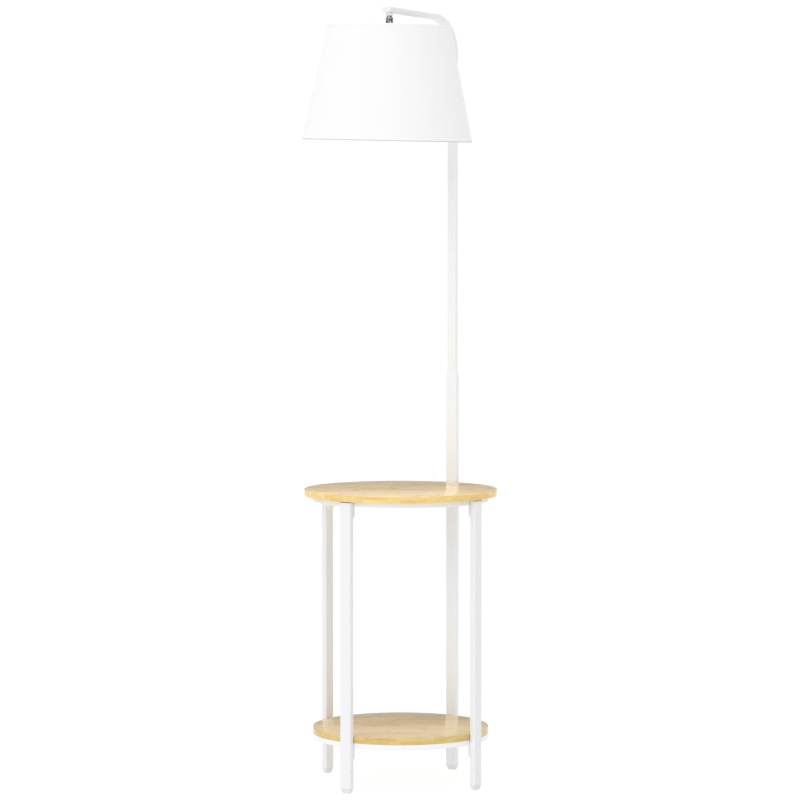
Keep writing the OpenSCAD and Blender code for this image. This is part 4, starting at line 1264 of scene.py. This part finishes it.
class LAMP_OT_bulb(LampOperator, Operator):
    """Makes the bulb: rolled screw cap, housing and opal globe"""

    bl_idname = "lamp.bulb"
    bl_label = "Bulb"

    def build(self, scene):
        low, high = BULB_CAP_LOW, BULB_CAP_TOP
        rows = [(0, low), (BULB_CAP_R - 0.4, low)]
        rows += [(BULB_CAP_R, z) for z in np.linspace(low + 0.2, high - 3.4, 80)]
        rows += [(12.4, high - 2.6), (10.6, high - 0.9), (8.4, high), (0, high)]
        roll = thread(scene.lamp_head.bulb_thread / MM, 0.85, low + 1.5, high - 3.2, 2)
        turned("bulb_screw_cap", "bulb_cap", rows, shape=roll, loop=False)

        join_r, join_z = 18, GLOBE_Z + 24
        share = np.linspace(0, 1, 20)
        flare = BULB_CAP_R + (join_r - BULB_CAP_R) * share ** 1.25
        rows = [(0, low - 0.05), (BULB_CAP_R - 0.8, low - 0.05)]
        rows += columns(flare, low - 0.3 + (join_z - low + 0.7) * share).tolist()
        rows += [(join_r - 0.4, join_z), (0, join_z)]
        turned("bulb_body", "bulb_housing", rows, loop=False)

        r, z = polar(GLOBE_R, np.linspace(-pi / 2, np.arcsin(0.8), 48))
        r[0] = 0
        rows = columns(r, GLOBE_Z + z).tolist() + [(join_r - 0.6, join_z + 0.2), (0, join_z + 0.2)]
        turned("bulb_diffuser", "bulb_globe", rows, loop=False, finish="opal")


# ---- shade ----


class LAMP_OT_shade_frame(LampOperator, Operator):
    """Makes the wire frame of the shade: top hoop, sloping arms, centre plate and bottom hoop"""

    bl_idname = "lamp.shade_frame"
    bl_label = "Shade frame"

    def build(self, scene):
        top, low = SHADE_TOP - WIRE / 2, SHADE_LOW + WIRE / 2
        self.plate()
        hoop = hoop_path(top)
        shells = [wire(hoop, WIRE / 2, loop=True)]
        for angle in pi / 2 + full_turn(3):
            shells += self.spoke(angle, hoop[0, 0], top)
        piece("wire_top_frame", "shade_top_frame", [in_head(shell) for shell in shells])
        piece("wire_bottom_hoop", "shade_bottom_ring", [in_head(wire(hoop_path(low), WIRE / 2, loop=True))])

    @staticmethod
    def plate():
        """The flat ring that rests under the lampholder's seat."""
        bore, rim, low, high = RING_BORE, 25, SEAT_Z - 2, SEAT_Z
        rows = [(bore + 0.2, low), (rim - 0.4, low), (rim, low + 0.4), (rim, high - 0.4), (rim - 0.4, high),
                (bore + 0.2, high), (bore, high - 0.2), (bore, low + 0.2)]
        turned("centre_plate", "shade_plate", rows, 128)

    @staticmethod
    def spoke(angle, start, top):
        """A sloping arm from the hoop to the plate, with a spot of weld at each end. Its path is the line
        through five corners, read at each place and a little to both sides, and averaged."""
        out, up = np.array([cos(angle), sin(angle), 0]), np.array([0, 0, 1.0])
        end, plate = 22.2, SEAT_Z - 1
        line = np.array([(start, top), (start - 3, top - 0.5), (end + 6, plate + 3.2),
                         (end + 2, plate + 0.7), (end, plate + 0.4)])
        reads = [np.linspace(0, 4, 33) + aside for aside in (-0.2, -0.1, 0, 0.1, 0.2)]
        r, z = (sum(np.interp(k, np.arange(5), line[:, axis]) for k in reads) / 5 for axis in (0, 1))
        return [wire(r[:, None] * out + z[:, None] * up, SPOKE / 2),
                moved(blob(2.6, 1.9), (start - 0.8) * out + top * up),
                moved(blob(2.5, 1.2), (end + 0.6) * out + (plate + 0.9) * up)]


class LAMP_OT_shade_cloth(LampOperator, Operator):
    """Makes the liner and the fabric of the shade, with rolled hems and a lapped seam at the back"""

    bl_idname = "lamp.shade_cloth"
    bl_label = "Shade cloth"

    def build(self, scene):
        self.liner()
        cloth = self.fabric(scene.lamp_shade.hem / MM, scene.lamp_shade.lap / MM)

    @staticmethod
    def liner():
        """A thin cone just inside the fabric."""
        z = np.linspace(CLOTH_TOP - 0.1, CLOTH_LOW + 0.1, 12)
        outside = shade_radius(z) - FABRIC_T - 0.1
        rows = np.concatenate([columns(outside, z), columns(outside - LINER_T, z)[::-1]])
        turned("shade_liner_film", "shade_liner", rows, 256)

    def fabric(self, hem, lap):
        """The cloth: its cross-section carried round the cone, a little more than one turn, so that its
        end lies over its start. Its radius also has a slight wave, sin(5 a) * sin(pi v / height)."""
        over_start, over_run, over_lift = 14 / SHADE_R_LOW, 12 / SHADE_R_LOW, 0.75
        v, lift, depth = self.section(CLOTH_TALL, hem)
        around = np.linspace(0, 2 * pi + lap / SHADE_R_LOW, 362)
        a = around[:, None] + SEAM
        over = over_lift * eased(np.clip((around - 2 * pi + over_start) / over_run, 0, 1))
        wave = 0.12 * np.sin(5 * a + 1) * np.sin(pi * v / CLOTH_TALL)
        z = CLOTH_TOP - v / SLANT
        r = shade_radius(z) + lift - depth + wave + over[:, None]
        cloth = piece("shade_fabric_cover", "shade_fabric", [in_head(skin(columns(*polar(r, a), z)))],
                      "shade_cloth")
        self.map_cloth(cloth, np.repeat(around * SHADE_R_LOW, len(v)), np.tile(v, len(around)))
        return cloth

    @staticmethod
    def section(tall, hem):
        """The cloth's cross-section as one closed line down its outside and back up its inside: v is the
        distance from the top edge, lift the height of the surface over the cone and depth the cloth's own
        thickness behind it. Over each hem the outside stands proud by the turned-in cloth, with a small
        groove at the stitch, and both edges are rounded."""
        hem_lift, groove_deep, edge_r = 0.3, 0.06, 0.45
        fine = np.concatenate([[0.0, 0.15, edge_r], np.linspace(1.2, hem - 0.6, 5),
                               [hem - 0.2, hem, hem + 0.3, hem + 0.9]])
        down = np.concatenate([fine, np.linspace(hem + 6, tall - hem - 6, 14), tall - fine[::-1]])
        near = np.minimum(down, tall - down)
        edge = np.sqrt(np.clip(near / edge_r, 0, 1))
        proud = hem_lift * eased(np.clip((hem - near) / 0.5, 0, 1))
        groove = groove_deep * np.exp(-((near - hem - 0.2) / 0.3) ** 2)
        lift = (proud - groove) * edge - 0.3 * (1 - edge)
        up = down[::-1][1:-1]
        return (np.concatenate([down, up]), np.concatenate([lift, 0 * up]),
                np.concatenate([0 * down, FABRIC_T + 0 * up]))

    @staticmethod
    def map_cloth(obj, u, v):
        """The fabric's own UV map, in metres: u runs round the shade and v down it."""
        layer = obj.data.uv_layers.new(name="UVMap")
        corner = np.empty(len(obj.data.loops), int)
        obj.data.loops.foreach_get("vertex_index", corner)
        layer.data.foreach_set("uv", (columns(u, v)[corner] * MM).ravel().astype(np.float32))


class LAMP_OT_wiring(LampOperator, Operator):
    """Makes the grommet and finishes what stays as the frame has it"""

    bl_idname = "lamp.wiring"
    bl_label = "Grommet and other finishes"

    def build(self, scene):
        bore, wall = 2.1, 1.2
        rows = [(bore, 0.2), (bore + 0.2, 0), (OUTLET_R, 0), (OUTLET_R, wall), (5.4, wall), (5.75, 1.5),
                (5.6, 2.2), (5.0, 2.7), (3.2, 2.8), (bore + 0.3, 2.6), (bore, 2.2)]
        shell = facing_back(revolved(rows, 64, loop=True), (0, POLE_BACK - wall, OUTLET_Z))
        piece("outlet_grommet", "cord_grommet", [shell], sharp=50)
        for name, node in frame["nodes"].items():
            if not node.hide_render:
                node.data.materials.clear()
                node.data.materials.append(material(SLOTS[name]))


# ---- add-on ----


STEPS = (LAMP_OT_camera, LAMP_OT_stage, LAMP_OT_boards, LAMP_OT_hoops, LAMP_OT_tubes, LAMP_OT_ends,
         LAMP_OT_fasteners, LAMP_OT_joint, LAMP_OT_lampholder, LAMP_OT_bulb, LAMP_OT_shade_frame,
         LAMP_OT_shade_cloth, LAMP_OT_wiring)


class LAMP_PT_panel(Panel):
    """Lists the lamp's settings and the steps that build it"""

    bl_idname = "LAMP_PT_panel"
    bl_label = "Floor lamp with table"
    bl_space_type = "VIEW_3D"
    bl_region_type = "UI"
    bl_category = "Floor lamp"

    def draw(self, context):
        for name, group in SETTINGS.items():
            box = self.layout.box()
            box.label(text=name.replace("_", " ").capitalize())
            for key in group.__annotations__:
                box.prop(getattr(context.scene, name), key)
        for step in STEPS:
            self.layout.operator(step.bl_idname)


CLASSES = (*SETTINGS.values(), *STEPS, LAMP_PT_panel)


def register():
    for cls in CLASSES:
        bpy.utils.register_class(cls)
    for name, group in SETTINGS.items():
        setattr(bpy.types.Scene, name, PointerProperty(type=group))


def unregister():
    for name in SETTINGS:
        delattr(bpy.types.Scene, name)
    for cls in reversed(CLASSES):
        bpy.utils.unregister_class(cls)


def main():
    """Builds the lamp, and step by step."""
    register()
    for step in STEPS:
        getattr(bpy.ops.lamp, step.bl_idname.removeprefix("lamp."))()


if __name__ == "__main__":
    main()
